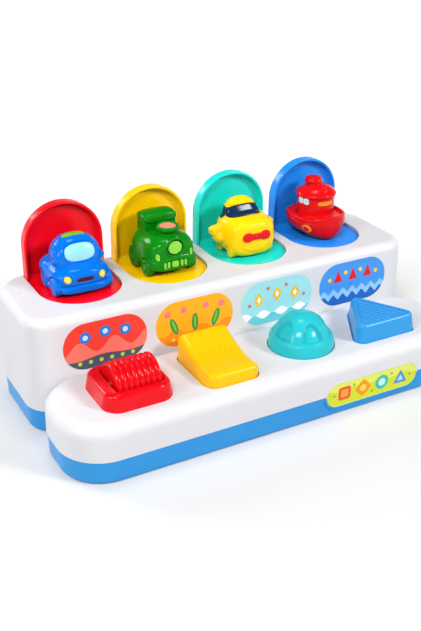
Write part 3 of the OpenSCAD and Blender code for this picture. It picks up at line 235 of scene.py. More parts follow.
KEY_YELLOW = moulded_abs("key_yellow_abs", "#f6be07", "#f0b604", 0.2)
DOME_TEAL = moulded_abs("dome_teal_abs", "#2abcc6", "#22b4be", 0.18)
TRIANGLE_BLUE = moulded_abs("triangle_blue_abs", "#3598d8", "#2e8fd2", 0.22)
LABEL_FILMS = {
    "red": printed_film("red_film", "#ee4a3c", "#e63f33"),
    "yellow": printed_film("amber_film", "#fbb62c", "#f6ab20"),
    "teal": printed_film("pale_teal_film", "#a5e0e6", "#98d8e0"),
    "blue": printed_film("blue_film", "#4d9ce8", "#4190e0"),
}

# Lacquers of the painted details on the figures
LACQUERS = {name: moulded_abs(name + "_lacquer", *look) for name, look in {
    "windscreen": ("#8ad0ee", "#a4e2f6", 0.18, 8.0),
    "roof_light": ("#8fc21f", "#6f9d12", 0.2, 6.0),
    "lamp": ("#f4d92e", "#ecce20", 0.2, 4.0),
    "lamp_heart": ("#fbf08c", "#f6e878", 0.2, 4.0),
    "slot": ("#5a0f24", "#4a0b1d", 0.3, 4.0),
    "light_green": ("#8fd84a", "#7fcb3c", 0.22, 5.0),
    "salmon": ("#f58f83", "#ee8175", 0.25, 5.0),
    "navy": ("#0d2740", "#16364f", 0.15, 5.0),
    "propeller": ("#e3161e", "#d60f18", 0.24, 5.0),
    "frame": ("#f4f4f4", "#ececec", 0.25, 5.0),
    "pane": ("#9fd3f5", "#b7e0fa", 0.18, 5.0),
    "trim": ("#f7931e", "#ee8512", 0.22, 5.0),
    "porthole": ("#d8151a", "#cb1016", 0.22, 5.0),
}.items()}


# Studio floor and sky: paper that turns white away from the toy, and a sky that dims overhead

FLOOR_HALF = 12


def seen_directly(tree):
    """1 for rays from the camera, from gloss and through clear pieces, else 0."""
    path = add_node(tree, "ShaderNodeLightPath")
    eye = add_node(tree, "ShaderNodeMath", {0: path.outputs["Is Camera Ray"],
                                            1: path.outputs["Is Glossy Ray"]}, operation="MAXIMUM")
    both = add_node(tree, "ShaderNodeMath", {0: eye.outputs[0], 1: path.outputs["Is Transmission Ray"]},
                    operation="MAXIMUM")
    return both.outputs[0]


floor_paper = new_material("studio_paper")
paper = floor_paper.node_tree
matt = add_node(paper, "ShaderNodeBsdfDiffuse", {"Color": (0.7, 0.7, 0.7, 1)})
dull = add_node(paper, "ShaderNodeBsdfDiffuse", {"Color": (0.5, 0.5, 0.5, 1)})
spot = add_node(paper, "ShaderNodeTexCoord")
away = add_node(paper, "ShaderNodeVectorMath", {0: spot.outputs["Object"]}, operation="LENGTH")
spread = add_node(paper, "ShaderNodeMapRange", {"Value": away.outputs["Value"], "From Min": 0.2,
                                                "From Max": 1.2, "To Min": 0.02, "To Max": 1.0})
glow = add_node(paper, "ShaderNodeEmission", {"Color": (1, 1, 1, 1),
                                              "Strength": spread.outputs["Result"]})
lit = add_node(paper, "ShaderNodeAddShader", {0: matt.outputs[0], 1: glow.outputs[0]})
either = add_node(paper, "ShaderNodeMixShader", {0: seen_directly(paper), 1: dull.outputs[0],
                                                 2: lit.outputs[0]})
add_node(paper, "ShaderNodeOutputMaterial", {"Surface": either.outputs[0]})
floor_mesh = bpy.data.meshes.new("studio_floor")
floor_corners = [(x * FLOOR_HALF, y * FLOOR_HALF, 0) for x, y in ((-1, -1), (1, -1), (1, 1), (-1, 1))]
floor_mesh.from_pydata(floor_corners, [], [(0, 1, 2, 3)])
floor_mesh.materials.append(floor_paper)
studio_floor = bpy.data.objects.new("studio_floor", floor_mesh)
scene.collection.objects.link(studio_floor)

world = bpy.data.worlds.new("studio")
world.use_nodes = True
world.node_tree.nodes.clear()
sky = world.node_tree
heading = add_node(sky, "ShaderNodeTexCoord")
parts = add_node(sky, "ShaderNodeSeparateXYZ", {"Vector": heading.outputs["Generated"]})
height = add_node(sky, "ShaderNodeMapRange", {"Value": parts.outputs["Z"], "From Min": 0.1,
                                              "From Max": 0.5, "To Min": 1.0, "To Max": 0.1})
soft = add_node(sky, "ShaderNodeBackground", {"Color": (0.97, 0.98, 1, 1), "Strength": 0.13})
white = add_node(sky, "ShaderNodeBackground", {"Color": (1, 1, 1, 1),
                                               "Strength": height.outputs["Result"]})
air = add_node(sky, "ShaderNodeMixShader", {0: seen_directly(sky), 1: soft.outputs[0],
                                            2: white.outputs[0]})
add_node(sky, "ShaderNodeOutputWorld", {"Surface": air.outputs[0]})
scene.world = world


# Finishing of pieces

def settle(obj):
    """Turn an object's modifiers into a plain mesh."""
    graph = bpy.context.evaluated_depsgraph_get()
    old = obj.data
    obj.data = bpy.data.meshes.new_from_object(obj.evaluated_get(graph), depsgraph=graph)
    obj.modifiers.clear()
    obj.data.name = obj.name
    if old.users == 0:
        bpy.data.meshes.remove(old)


def attach(obj, body, nodes):
    """Give a piece its body and the nodes it stands for."""
    if body:
        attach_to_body(obj, body)
    if nodes:
        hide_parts(*nodes)


def dress(name, mesh, material, body, slot, nodes=(), crease=32.0, weighted=True):
    """Make a mesh in metres a finished piece with smooth shading and a material."""
    obj = bpy.data.objects.new(name, mesh)
    scene.collection.objects.link(obj)
    mesh.materials.clear()
    mesh.materials.append(material)
    mesh.shade_smooth()
    mesh.set_sharp_from_angle(angle=math.radians(crease))
    if weighted:
        even = obj.modifiers.new("even_normals", "WEIGHTED_NORMAL")
        even.keep_sharp = True
        settle(obj)
    attach(obj, body, nodes)
    return obj


def metres(name, shape):
    """Mesh in metres of a bmesh in millimetres."""
    shape.transform(Matrix.Scale(MM, 4))
    mesh = bpy.data.meshes.new(name)
    shape.to_mesh(mesh)
    shape.free()
    return mesh


def finish(name, shape, material, body, slot, nodes=(), **look):
    """Dress a bmesh in millimetres as it is."""
    return dress(name, metres(name, shape), material, body, slot, nodes, **look)


def piece(name, shape, material, body, slot, nodes=(), **look):
    """Merge a bmesh in millimetres, point its faces outwards and finish it."""
    bmesh.ops.remove_doubles(shape, verts=shape.verts, dist=0.0005)
    bmesh.ops.recalc_face_normals(shape, faces=shape.faces)
    return finish(name, shape, material, body, slot, nodes, **look)


def cad_copy(node):
    """Merged copy of a CAD node's mesh, in millimetres, with flat faces joined up."""
    shape = bmesh.new()
    shape.from_mesh(frame["nodes"][node].data)
    shape.transform(Matrix.Scale(1 / MM, 4))
    bmesh.ops.remove_doubles(shape, verts=shape.verts, dist=0.003)
    bmesh.ops.dissolve_limit(shape, angle_limit=math.radians(0.4), verts=shape.verts, edges=shape.edges)
    return shape


def bisect(shape, place, normal, **choice):
    """Cut a bmesh along a plane."""
    geom = shape.verts[:] + shape.edges[:] + shape.faces[:]
    return bmesh.ops.bisect_plane(shape, geom=geom, plane_co=place, plane_no=normal, **choice)


def below(node, height):
    """Copy of a CAD node cut off at a height: the hidden foot of a key."""
    shape = cad_copy(node)
    cut = bisect(shape, (0, 0, height), (0, 0, 1), clear_outer=True)
    rim = [e for e in cut["geom_cut"] if isinstance(e, bmesh.types.BMEdge)]
    bmesh.ops.contextual_create(shape, geom=rim)
    return shape


def soften(shape, radius, steps, test):
    """Round the sharp edges that pass a test on their middle point."""
    sharp = []
    for edge in shape.edges:
        if len(edge.link_faces) == 2 and edge.calc_face_angle() > math.radians(35):
            if test((edge.verts[0].co + edge.verts[1].co) / 2):
                sharp.append(edge)
    bmesh.ops.bevel(shape, geom=sharp, offset=radius, offset_type="OFFSET", segments=steps, profile=0.5,
                    affect="EDGES", clamp_overlap=False, loop_slide=True)


# Shapes

def add_rings(shape, rings, hollow=False):
    """Skin closed rings of points one after another; close both ends, or join last to first."""
    loops = [[shape.verts.new(p) for p in ring] for ring in rings]
    for a, b in zip(loops, loops[1:] + loops[:1] if hollow else loops[1:]):
        for i in range(len(a)):
            j = (i + 1) % len(a)
            shape.faces.new((a[i], a[j], b[j], b[i]))
    if not hollow:
        shape.faces.new(reversed(loops[0]))
        shape.faces.new(loops[-1])


def add_turned(shape, profile, place, count=72):
    """Turn a profile of (radius, height) round the local Z axis of a place."""
    turns = [ROUND * i / count for i in range(count)]
    add_rings(shape, [[place @ Vector((r * math.cos(t), r * math.sin(t), z)) for t in turns]
                      for r, z in profile])


def between(rows, steps):
    """Rows with smooth ones added between them (Catmull-Rom)."""
    out = []
    for k in range(len(rows) - 1):
        p0, p1 = np.array(rows[max(k - 1, 0)]), np.array(rows[k])
        p2, p3 = np.array(rows[k + 1]), np.array(rows[min(k + 2, len(rows) - 1)])
        for s in range(steps):
            t = s / steps
            out.append(0.5 * (2 * p1 + (p2 - p0) * t + (2 * p0 - 5 * p1 + 4 * p2 - p3) * t * t
                              + (3 * p1 - p0 - 3 * p2 + p3) * t ** 3))
    out.append(np.array(rows[-1]))
    return out


def oval(turn, half, low, mid, high, power):
    """Point of a superellipse ring whose upper and lower halves have their own heights."""
    c, s = math.cos(turn), math.sin(turn)
    reach = high - mid if s > 0 else mid - low
    return (half * math.copysign(abs(c) ** (2 / power), c),
            mid + reach * math.copysign(abs(s) ** (2 / power), s))


def add_skin(shape, rows, size, origin, power, count=72):
    """Skin over rows of [y, half width, low, middle, high], as shares of length, half width, height."""
    length, width, height = size
    rings = []
    for y, half, low, mid, high in between(rows, 5):
        ring = []
        for i in range(count):
            x, z = oval(ROUND * i / count, half * width / 2, low * height, mid * height,
                        high * height, power)
            ring.append(origin + Vector((x, y * length, z)))
        rings.append(ring)
    add_rings(shape, rings)


def add_ball(shape, centre, radii, count=32):
    """Ellipsoid."""
    profile = []
    for k in range(count // 2 + 1):
        a = math.pi * (k / (count // 2) - 0.5)
        profile.append((max(math.cos(a), 0.002), math.sin(a)))
    place = Matrix.Translation(centre) @ Matrix.Diagonal((*radii, 1))
    add_turned(shape, profile, place, count)


def rounded_post(radius, low, high, edge):
    """Profile of a post with rounded ends."""
    arc = [(edge * math.cos(math.radians(a)), edge * math.sin(math.radians(a))) for a in range(0, 91, 15)]
    lower = [(radius - edge + c, low + edge - s) for c, s in reversed(arc)]
    upper = [(radius - edge + c, high - edge + s) for c, s in arc]
    return [(0.01, low)] + lower + upper + [(0.01, high)]


VOXEL = 0.34


def fused(shape, rounds):
    """One seamless moulding from overlapping shapes: voxel remesh, then smoothing."""
    mesh = bpy.data.meshes.new("blank")
    bmesh.ops.recalc_face_normals(shape, faces=shape.faces)
    shape.to_mesh(mesh)
    shape.free()
    blank = bpy.data.objects.new("blank", mesh)
    scene.collection.objects.link(blank)
    remesh = blank.modifiers.new("remesh", "REMESH")
    remesh.mode = "VOXEL"
    remesh.voxel_size = VOXEL
    smooth = blank.modifiers.new("smooth", "SMOOTH")
    smooth.factor = 0.5
    smooth.iterations = rounds
    settle(blank)
    done = blank.data
    bpy.data.objects.remove(blank)
    return done


# Marks on a moulding: pressed-in spots, grooves and thin painted pads

Spot = namedtuple("Spot", "centre look right wide high power")
FROM_TOP = {"look": (0, 0, -1), "right": (1, 0, 0)}
SIDES = ((-1, {"look": (1, 0, 0), "right": (0, -1, 0)}), (1, {"look": (-1, 0, 0), "right": (0, 1, 0)}))
PAD_PROFILE = ((0.02, 1), (0.25, 1), (0.5, 1), (0.7, 1), (0.85, 1), (0.94, 0.9), (0.985, 0.55), (1.0, 0))
PAD_SUNK = 0.8
CAST_FROM = 15


def sized(spot, wide, high):
    """Spot of another size in the same place."""
    return spot._replace(wide=wide, high=high)


def spot_on(spot, points):
    """Share of the way from a spot's centre to its outline, and the depth along its view, of points."""
    look = np.array(spot.look) / np.linalg.norm(spot.look)
    right = np.array(spot.right) / np.linalg.norm(spot.right)
    up = np.cross(right, look)
    away = points - np.array(spot.centre)
    share = (np.abs(away @ right / spot.wide) ** spot.power
             + np.abs(away @ up / spot.high) ** spot.power) ** (1 / spot.power)
    return share, away @ look, look


def press(mesh, spot, depth, ring=0.0, reach=9.0, edge=0.4):
    """Press a spot into a moulding; with a ring width only its outline becomes a groove."""
    count = len(mesh.vertices)
    points = np.empty(count * 3)
    normals = np.empty(count * 3)
    mesh.vertices.foreach_get("co", points)
    mesh.vertices.foreach_get("normal", normals)
    points = points.reshape(-1, 3)
    normals = normals.reshape(-1, 3)
    share, far, look = spot_on(spot, points)
    size = min(spot.wide, spot.high)
    inside = np.clip((1 - share) * size / edge, 0, 1)
    if ring:
        inside *= np.clip((share - 1 + ring / size) * size / edge, 0, 1)
    facing = np.clip(-(normals @ look) / 0.3, 0, 1)
    weight = inside * facing * (np.abs(far) < reach)
    points += look * (depth * weight)[:, None]
    mesh.vertices.foreach_set("co", points.ravel())
    mesh.update()


def surface_of(mesh):
    """Search tree of a mesh."""
    shape = bmesh.new()
    shape.from_mesh(mesh)
    tree = BVHTree.FromBMesh(shape)
    shape.free()
    return tree


def add_pad(shape, tree, spot, rise, count=64):
    """Thin closed pad cast on a surface: its edge is rounded and its underside lies inside the body."""
    look = Vector(spot.look).normalized()
    right = Vector(spot.right).normalized()
    up = right.cross(look)
    centre = Vector(spot.centre)
    upper, lower = [], []
    last = centre
    for share, lift in PAD_PROFILE:
        top, bottom = [], []
        for i in range(count):
            u, v = oval(ROUND * i / count, spot.wide, -spot.high, 0, spot.high, spot.power)
            start = centre + right * (u * share) + up * (v * share) - look * CAST_FROM
            hit = tree.ray_cast(start, look, 2 * CAST_FROM)[0]
            if hit is None:
                hit = start + look * (last - start).dot(look)
            last = hit
            top.append(hit - look * (rise * lift))
            bottom.append(hit + look * PAD_SUNK)
        upper.append(top)
        lower.append(bottom)
    add_rings(shape, upper + lower[::-1])


# Housing, and flaps: lid and floor in one moulding, with rounded rims

LID_BACK, LID_FRONT, LID_FOOT = 72.7, 65.3, 87
FLOOR_BACK = 60

for name, node, slot in (("housing_shell", "top_shell", "white_shell"),
                         ("base_moulding", "base_tray", "blue_base")):
    finish(name, cad_copy(node), MATERIALS[slot], "housing", slot, (node,))
for colour in COLOURS:
    flap = cad_copy("flap_" + colour)
    soften(flap, 0.9, 3, lambda p: p.z > LID_FOOT and (p.y < LID_FRONT or p.y > LID_BACK))
    soften(flap, 0.5, 2, lambda p: abs(p.z - FLOOR_Z) < 0.05 and p.y < FLOOR_BACK)
    slot = colour + "_plastic"
    finish("lid_and_floor_" + colour, flap, MATERIALS[slot], "flap_" + colour, slot, ("flap_" + colour,))


# Figures: each stands on its flap's floor, in a box of some length, width and height

Figure = namedtuple("Figure", "name colour slot size")
WHEEL_W = 6.0


def at(figure, place=(0, 0, 0)):
    """Point given from the middle of a figure's floor."""
    return Vector((BAY_XS[COLOURS.index(figure.colour)], FIGURE_Y, FLOOR_Z)) + Vector(place)


def mark(figure, place, wide, high, power=2.0, look=(0, 1, 0), right=(1, 0, 0)):
    """Spot on a figure, seen from the front unless told otherwise."""
    return Spot(at(figure, place), look, right, wide, high, power)


def skinned(figure, *skins):
    """Overlapping skins of a figure: the rows and the power of each."""
    shape = bmesh.new()
    for rows, power in skins:
        add_skin(shape, rows, figure.size, at(figure), power)
    return shape


def add_wheels(shape, figure, outer, wheels):
    """Pairs of wheels with rounded treads, given as shares of the length and radii."""
    for share, radius in wheels:
        profile = rounded_post(radius, -WHEEL_W / 2, WHEEL_W / 2, 1.6)
        for side in (-1, 1):
            place = at(figure, (side * (outer - WHEEL_W / 2), share * figure.size[0], radius))
            add_turned(shape, profile, Matrix.Translation(place) @ Matrix.Rotation(math.pi / 2, 4, "Y"), 56)


def painted(figure, mesh, *coats):
    """Finish a figure's moulding in millimetres; each coat (part, lacquer, spots) is a piece of pads."""
    tree = surface_of(mesh)
    body = "flap_" + figure.colour
    for part, lacquer, spots in coats:
        shape = bmesh.new()
        for spot, rise in spots:
            add_pad(shape, tree, spot, rise)
        piece(figure.name + "_" + part, shape, LACQUERS[lacquer], body, figure.slot, weighted=False)
    mesh.transform(Matrix.Scale(MM, 4))
    dress(figure.name + "_body", mesh, MATERIALS[figure.slot], body, figure.slot,
          (figure.name + "_figure",), 60.0, False)


# Car

CAR = Figure("car", "red", "car_blue", (38.0, 44.9, 40.0))
CAR_BODY = ((-0.48, .4, .16, .31, .42), (-0.45, .64, .1, .31, .47), (-0.37, .83, .06, .3, .51),
            (-0.22, .95, .03, .3, .55), (0, .97, .02, .32, .58), (.25, 1, .02, .37, .61),
            (.42, .99, .06, .38, .6), (.5, .8, .14, .37, .53))
CAR_CABIN = ((-0.27, .5, .4, .56, .66), (-0.24, .66, .4, .56, .8), (-0.15, .78, .4, .56, .92),
             (0, .82, .4, .56, .99), (.14, .8, .4, .56, 1), (.28, .73, .4, .56, .95),
             (.39, .58, .4, .54, .82), (.45, .36, .42, .52, .64))
CAR_BUMPER = ((-0.49, .48, .09, .14, .18), (-0.47, .68, .06, .13, .2), (-0.4, .86, .05, .13, .21),
              (-0.25, .98, .04, .13, .21), (.2, .98, .04, .13, .21))
CAR_WHEELS = ((-0.24, 6.8), (0.26, 6.8))


def make_car():
    """Rounded car with a domed cabin."""
    shape = skinned(CAR, (CAR_BODY, 2.4), (CAR_CABIN, 2.4), (CAR_BUMPER, 3))
    add_wheels(shape, CAR, CAR.size[1] / 2 - 0.6, CAR_WHEELS)
    for side in (-1, 1):
        add_ball(shape, at(CAR, (side * 17.4, -6.0, 24.2)), (2.3, 1.7, 2.0))
    body = fused(shape, 6)
    screen = mark(CAR, (0.4, -9.5, 29.4), 11.3, 6.2, 2.6)
    slot = mark(CAR, (0, -17.5, 12.2), 6.4, 1.6, 4)
    lens = mark(CAR, (0, 3.0, 39.0), 8.7, 2.5, 3, **FROM_TOP)
    lamps = [mark(CAR, (side * 13.0, -15.5, 13.9), 2.5, 2.5) for side in (-1, 1)]
    press(body, sized(screen, 12.6, 7.5), 1.2)
    press(body, sized(slot, 6.6, 1.9), 1.2)
    press(body, sized(lens, 9.3, 3.1), 0.6)
    press(body, mark(CAR, (0, -17.5, 8.6), 24, 0.8, 8), 1.1, reach=14)
    for side, view in SIDES:
        press(body, mark(CAR, (side * 17.0, 3.6, 29.0), 8.4, 5.4, 3, **view), 0.7, 1.1)
        for share, radius in CAR_WHEELS:
            hub = mark(CAR, (side * 21.6, share * CAR.size[0], radius), 8.0, 8.0, **view)
            press(body, hub, 1.5, 1.3, 4)
            press(body, sized(hub, 4.0, 4.0), 0.6, 1.0, 4)
    for lamp in lamps:
        press(body, sized(lamp, 3.2, 3.2), 0.6)
    painted(CAR, body,
            ("windscreen", "windscreen", [(screen, 0.9)]),
            ("grille_slot", "slot", [(slot, 0.2)]),
            ("roof_light", "roof_light", [(lens, 0.9)]),
            ("lamps", "lamp", [(lamp, 0.9) for lamp in lamps]),
            ("lamp_hearts", "lamp_heart", [(sized(lamp, 1.3, 1.3), 1.0) for lamp in lamps]))


make_car()


# Train

TRAIN = Figure("train", "yellow", "train_green", (42.0, 40.7, 45.0))
TRAIN_BODY = ((-0.45, .45, .18, .35, .55), (-0.42, .68, .12, .34, .61), (-0.34, .86, .08, .32, .65),
              (-0.2, .95, .04, .3, .68), (.05, .96, .02, .3, .69), (.3, .97, .02, .3, .68),
              (.42, .9, .03, .3, .64), (.47, .7, .08, .3, .5))
TRAIN_BUMPER = ((-0.47, .6, .17, .26, .33), (-0.45, .8, .12, .25, .36), (-0.38, .92, .1, .25, .37),
                (-0.28, .96, .09, .25, .37), (-0.1, .92, .08, .25, .37))
TRAIN_CAB = ((.13, .58, .4, .65, .88), (.15, .63, .4, .65, .88), (.43, .63, .4, .65, .88),
             (.45, .58, .4, .65, .88))
TRAIN_ROOF = ((.09, .54, .8, .85, .89), (.12, .65, .77, .85, .93), (.28, .68, .77, .85, .96),
              (.44, .65, .77, .85, .93), (.47, .54, .8, .85, .89))
CHIMNEY = ((0.01, 0), (6.4, 0), (5.9, 2.2), (5.9, 3.6), (6.4, 5.2), (7.4, 6.6), (8.2, 7.6), (8.5, 8.7),
           (8.4, 9.8), (7.9, 10.6), (7.3, 10.8), (6.7, 10.4), (6.5, 9.6), (0.01, 9.5))
HEADLAMP = ((0.01, -5), (7.9, -5), (7.9, 1.2), (7.6, 2.2), (7.0, 2.5), (6.3, 2.2), (6.0, 1.0), (0.01, 0.8))
TRAIN_WHEELS = ((-0.19, 6.5), (0.31, 8.5))
GRILLE_BARS = ((-8.4, 0.9), (-5.4, 1.0), (0, 2.7), (5.4, 1.0), (8.4, 0.9))


def make_train():
    """Steam engine with a flared chimney and a slab roof."""
    shape = skinned(TRAIN, (TRAIN_BODY, 2.8), (TRAIN_BUMPER, 3), (TRAIN_CAB, 6), (TRAIN_ROOF, 3))
    add_turned(shape, CHIMNEY, Matrix.Translation(at(TRAIN, (0, -6.6, 26.0))))
    lamp_place = Matrix.Translation(at(TRAIN, (0, -17.6, 22.9))) @ Matrix.Rotation(math.pi / 2, 4, "X")
    add_turned(shape, HEADLAMP, lamp_place)
    add_wheels(shape, TRAIN, 20.2, TRAIN_WHEELS)
    body = fused(shape, 5)
    lights = [mark(TRAIN, (side * 13.6, -16, 17.2), 1.4, 2.3, 2.6) for side in (-1, 1)]
    lamp = mark(TRAIN, (0, -18.5, 22.9), 5.5, 5.0)
    bars = [mark(TRAIN, (x, -18.5, 10.0), half, 2.4, 4) for x, half in GRILLE_BARS]
    press(body, sized(lamp, 6.9, 6.4), 1.2, 1.2)
    press(body, mark(TRAIN, (0, -18.5, 10.0), 10.6, 3.2, 4), 0.8)
    for side, view in SIDES:
        press(body, mark(TRAIN, (side * 12.8, 12.2, 30.5), 4.6, 3.4, 4, **view), 0.8, 0, 5)
        for share, radius in TRAIN_WHEELS:
            rim = radius + 1.2
            hub = mark(TRAIN, (side * 19.4, share * TRAIN.size[0], radius), rim, rim, **view)
            press(body, hub, 1.4, 1.3, 4)
            press(body, sized(hub, 0.62 * radius, 0.62 * radius), 0.9, 1.4, 4)
    for light in lights:
        press(body, sized(light, light.wide + 0.6, light.high + 0.6), 0.4)
    greens = [(lamp, 0.9)] + [(light, 1.1) for light in lights] + [(bar, 0.8) for bar in bars]
    mouth = mark(TRAIN, (0, -6.6, 35.8), 6.3, 6.3, **FROM_TOP)
    painted(TRAIN, body, ("lights_and_grille", "light_green", greens),
            ("chimney_mouth", "salmon", [(mouth, 0.3)]))


make_train()


# Plane

PLANE = Figure("plane", "teal", "plane_yellow", (38.0, 54.6, 43.0))
PLANE_BODY = ((-0.46, .38, .12, .38, .58), (-0.43, .55, .06, .37, .64), (-0.35, .67, .02, .37, .68),
              (-0.2, .72, .01, .37, .7), (.05, .74, 0, .4, .73), (.3, .68, .02, .4, .71),
              (.44, .48, .1, .42, .63), (.5, .26, .2, .42, .55))
PLANE_CABIN = ((0, .45, .5, .62, .68), (.06, .54, .5, .62, .76), (.14, .56, .5, .62, .87),
               (.24, .54, .5, .62, .94), (.33, .48, .5, .6, .955), (.42, .36, .5, .58, .86),
               (.47, .2, .5, .56, .7))
PLANE_WING = ((.02, .86, .37, .43, .49), (.06, 1, .33, .43, .52), (.24, 1, .33, .43, .52),
              (.32, .86, .37, .43, .49))
PLANE_WHEELS = ((-0.21, 4.3), (0.24, 4.3))


def make_plane():
    """Stubby propeller plane."""
    shape = skinned(PLANE, (PLANE_BODY, 3.4), (PLANE_CABIN, 2.6), (PLANE_WING, 4))
    for side in (-1, 1):
        add_ball(shape, at(PLANE, (side * 20.6, 3.6, 14.2)), (5.4, 7.2, 4.9))
    add_wheels(shape, PLANE, 0.342 * PLANE.size[1], PLANE_WHEELS)
    body = fused(shape, 7)
    screen = mark(PLANE, (0, 3.0, 31.6), 14.6, 5.4, 4, (0, 0.8, -0.6))
    press(body, sized(screen, 15.4, 6.1), 0.8)
    press(body, mark(PLANE, (0, -17.0, 17.4), 13.6, 12.2, 2.4), -0.6, 0, edge=1.2)
    front_share, front_radius = PLANE_WHEELS[0]
    panes = [(screen, 0.75)]
    for side, view in SIDES:
        hub = mark(PLANE, (side * 18.6, front_share * PLANE.size[0], front_radius), 5.6, 5.6, **view)
        press(body, hub, 1.2, 1.2, 4)
        panes.append((mark(PLANE, (side * 14.0, 9.6, 31.4), 4.8, 4.2, 3, **view), 0.35))
    blades = [(mark(PLANE, (side * 7.6, -18, 18.0), 4.4, 3.7, 2.3), 1.3) for side in (-1, 1)]
    blades.append((mark(PLANE, (0, -18, 18.0), 8.0, 2.4, 6), 1.25))
    blades.append((mark(PLANE, (0, -18, 18.0), 2.0, 2.0), 1.9))
    painted(PLANE, body, ("windows", "navy", panes), ("propeller", "propeller", blades))


make_plane()


# Boat

BOAT = Figure("boat", "blue", "boat_red", (41.0, 43.7, 46.5))
BOAT_HULL = ((-0.47, .12, .2, .42, .46), (-0.43, .38, .06, .41, .45), (-0.33, .69, .01, .39, .43),
             (-0.15, .93, 0, .38, .42), (.1, 1, 0, .38, .42), (.32, .99, 0, .38, .43),
             (.47, .9, .03, .39, .44), (.545, .64, .12, .41, .45))
BOAT_ROOF = ((0.01, 0), (15.2, 0), (16.2, 0.5), (16.5, 1.4), (16.2, 2.5), (15.2, 3.6), (13.4, 5.0),
             (11.0, 6.4), (8.0, 7.6), (4.5, 8.3), (0.01, 8.5))
BOAT_FUNNEL = ((0.01, -2), (4.9, -2), (4.7, 3.6), (5.4, 4.0), (6.8, 4.2), (7.2, 5.0), (7.2, 6.2), (6.6, 7.6),
               (5.2, 8.6), (3.0, 9.1), (0.01, 9.2))
CABIN_R = 14.9


def make_boat():
    """Small tug with a round cabin."""
    shape = skinned(BOAT, (BOAT_HULL, 2.2))
    cabin = at(BOAT, (0, 6.6, 0))
    add_turned(shape, rounded_post(CABIN_R, 14.0, 34.5, 0.8), Matrix.Translation(cabin))
    add_turned(shape, BOAT_ROOF, Matrix.Translation(cabin + Vector((0, 0, 32.5))))
    add_turned(shape, BOAT_FUNNEL, Matrix.Translation(at(BOAT, (0, 11.0, 37.2))))
    add_ball(shape, at(BOAT, (0, -2.5, 36.2)), (4.6, 4.6, 4.2))
    body = fused(shape, 5)
    press(body, mark(BOAT, (0, 0.8, 19.4), 19.0, 17.5, 2.3, **FROM_TOP), 2.0, 0, 3.2, 0.8)
    for side, view in SIDES:
        press(body, mark(BOAT, (side * 18.0, 1.0, 15.8), 18.5, 0.8, 8, **view), 0.7, 0, 14)
    frames, panes, trim, glasses = [], [], [], []
    for angle in (64, 86, -64, -86):
        turn = math.radians(angle)
        out = Vector((-math.sin(turn), -math.cos(turn), 0))
        centre = cabin + out * CABIN_R + Vector((0, 0, 30.2))
        pane = Spot(centre, tuple(-out), (-out.y, out.x, 0), 1.7, 1.9, 5)
        frames.append((sized(pane, 2.4, 2.6), 0.5))
        panes.append((pane, 0.7))
    for side, view in SIDES:
        hole = mark(BOAT, (side * 17.5, -8.6, 10.7), 3.4, 3.4, **view)
        trim.append((hole, 0.7))
        glasses.append((sized(hole, 2.3, 2.3), 0.9))
    trim.append((mark(BOAT, (0, -8.3, 28.6), 6.6, 1.7, 4), 0.6))
    painted(BOAT, body, ("window_frames", "frame", frames), ("window_panes", "pane", panes),
            ("trim", "trim", trim), ("portholes", "porthole", glasses))


make_boat()


# Roller key: frame, and a drum whose ribs are laid out by Geometry Nodes

def rounded_ring(corners, radius, steps=8, per_edge=8):
    """Ring of (x, y, corner x, corner y) round corner points given anticlockwise."""
    count = len(corners)
    normals = []
    for k in range(count):
        (x0, y0), (x1, y1) = corners[k], corners[(k + 1) % count]
        normals.append(math.atan2(x0 - x1, y1 - y0))
    ring = []
    for k in range(count):
        cx, cy = corners[k]
        start = normals[k - 1]
        turn = (normals[k] - start) % ROUND
        for s in range(steps + 1):
            a = start + turn * s / steps
            ring.append((cx + radius * math.cos(a), cy + radius * math.sin(a), cx, cy))
        nx, ny = corners[(k + 1) % count]
        for s in range(1, per_edge):
            t = s / per_edge
            mx, my = cx + (nx - cx) * t, cy + (ny - cy) * t
            ring.append((mx + radius * math.cos(normals[k]), my + radius * math.sin(normals[k]), mx, my))
    return ring


def rectangle(half_w, half_d):
    """Corner points anticlockwise from the front left."""
    return [(-half_w, -half_d), (half_w, -half_d), (half_w, half_d), (-half_w, half_d)]


def moved(rings, x, z=0.0):
    """Rings moved to a key's place."""
    return [[p + Vector((x, KEY_Y, z)) for p in ring] for ring in rings]


def make_roller_frame():
    """Leaning frame with a rounded rim, a well that flares at its mouth, and the plug in the deck."""
    rise, lean, edge_w, edge_h = 11.5, 0.2, 2.8, 4.2
    flare_w, flare_h, plug_wall, plug_h = 1.85, 4.0, 1.8, 5
    top = DECK_Z + rise
    rings = []

    def outer(inset, z):
        ring = rounded_ring(rectangle(13.5, 12.75), 12 - inset)
        rings.append([Vector((KEY_XS[0] + x, KEY_Y + y, z)) for x, y, cx, cy in ring])

    def inner(grow, z):
        ring = rounded_ring(rectangle(15.25, 14.55), 1.5 + grow)
        rings.append([Vector((ROLLER_X + x, KEY_Y + y, z)) for x, y, cx, cy in ring])

    outer(0, DECK_Z)
    for a in QUARTER:
        outer(lean * (rise - edge_h) + edge_w * (1 - math.cos(a)), top - edge_h + edge_h * math.sin(a))
    for a in reversed(QUARTER):
        inner(flare_w * (1 - math.cos(a)), top - flare_h + flare_h * math.sin(a))
    inner(0, DECK_Z - plug_h)
    inner(plug_wall, DECK_Z - plug_h)
    inner(plug_wall, DECK_Z)
    shape = bmesh.new()
    add_rings(shape, rings, True)
    piece("roller_surround", shape, KEY_RED, "housing", "red_plastic", ("roller_frame",), crease=40.0)


make_roller_frame()


def new_tree(name, inputs):
    """Geometry Nodes tree with named inputs, given as (name, kind of socket)."""
    tree = bpy.data.node_groups.new(name, "GeometryNodeTree")
    for label, kind in inputs:
        tree.interface.new_socket(label, in_out="INPUT", socket_type=kind)
    tree.interface.new_socket("Geometry", in_out="OUTPUT", socket_type="NodeSocketGeometry")
    return tree


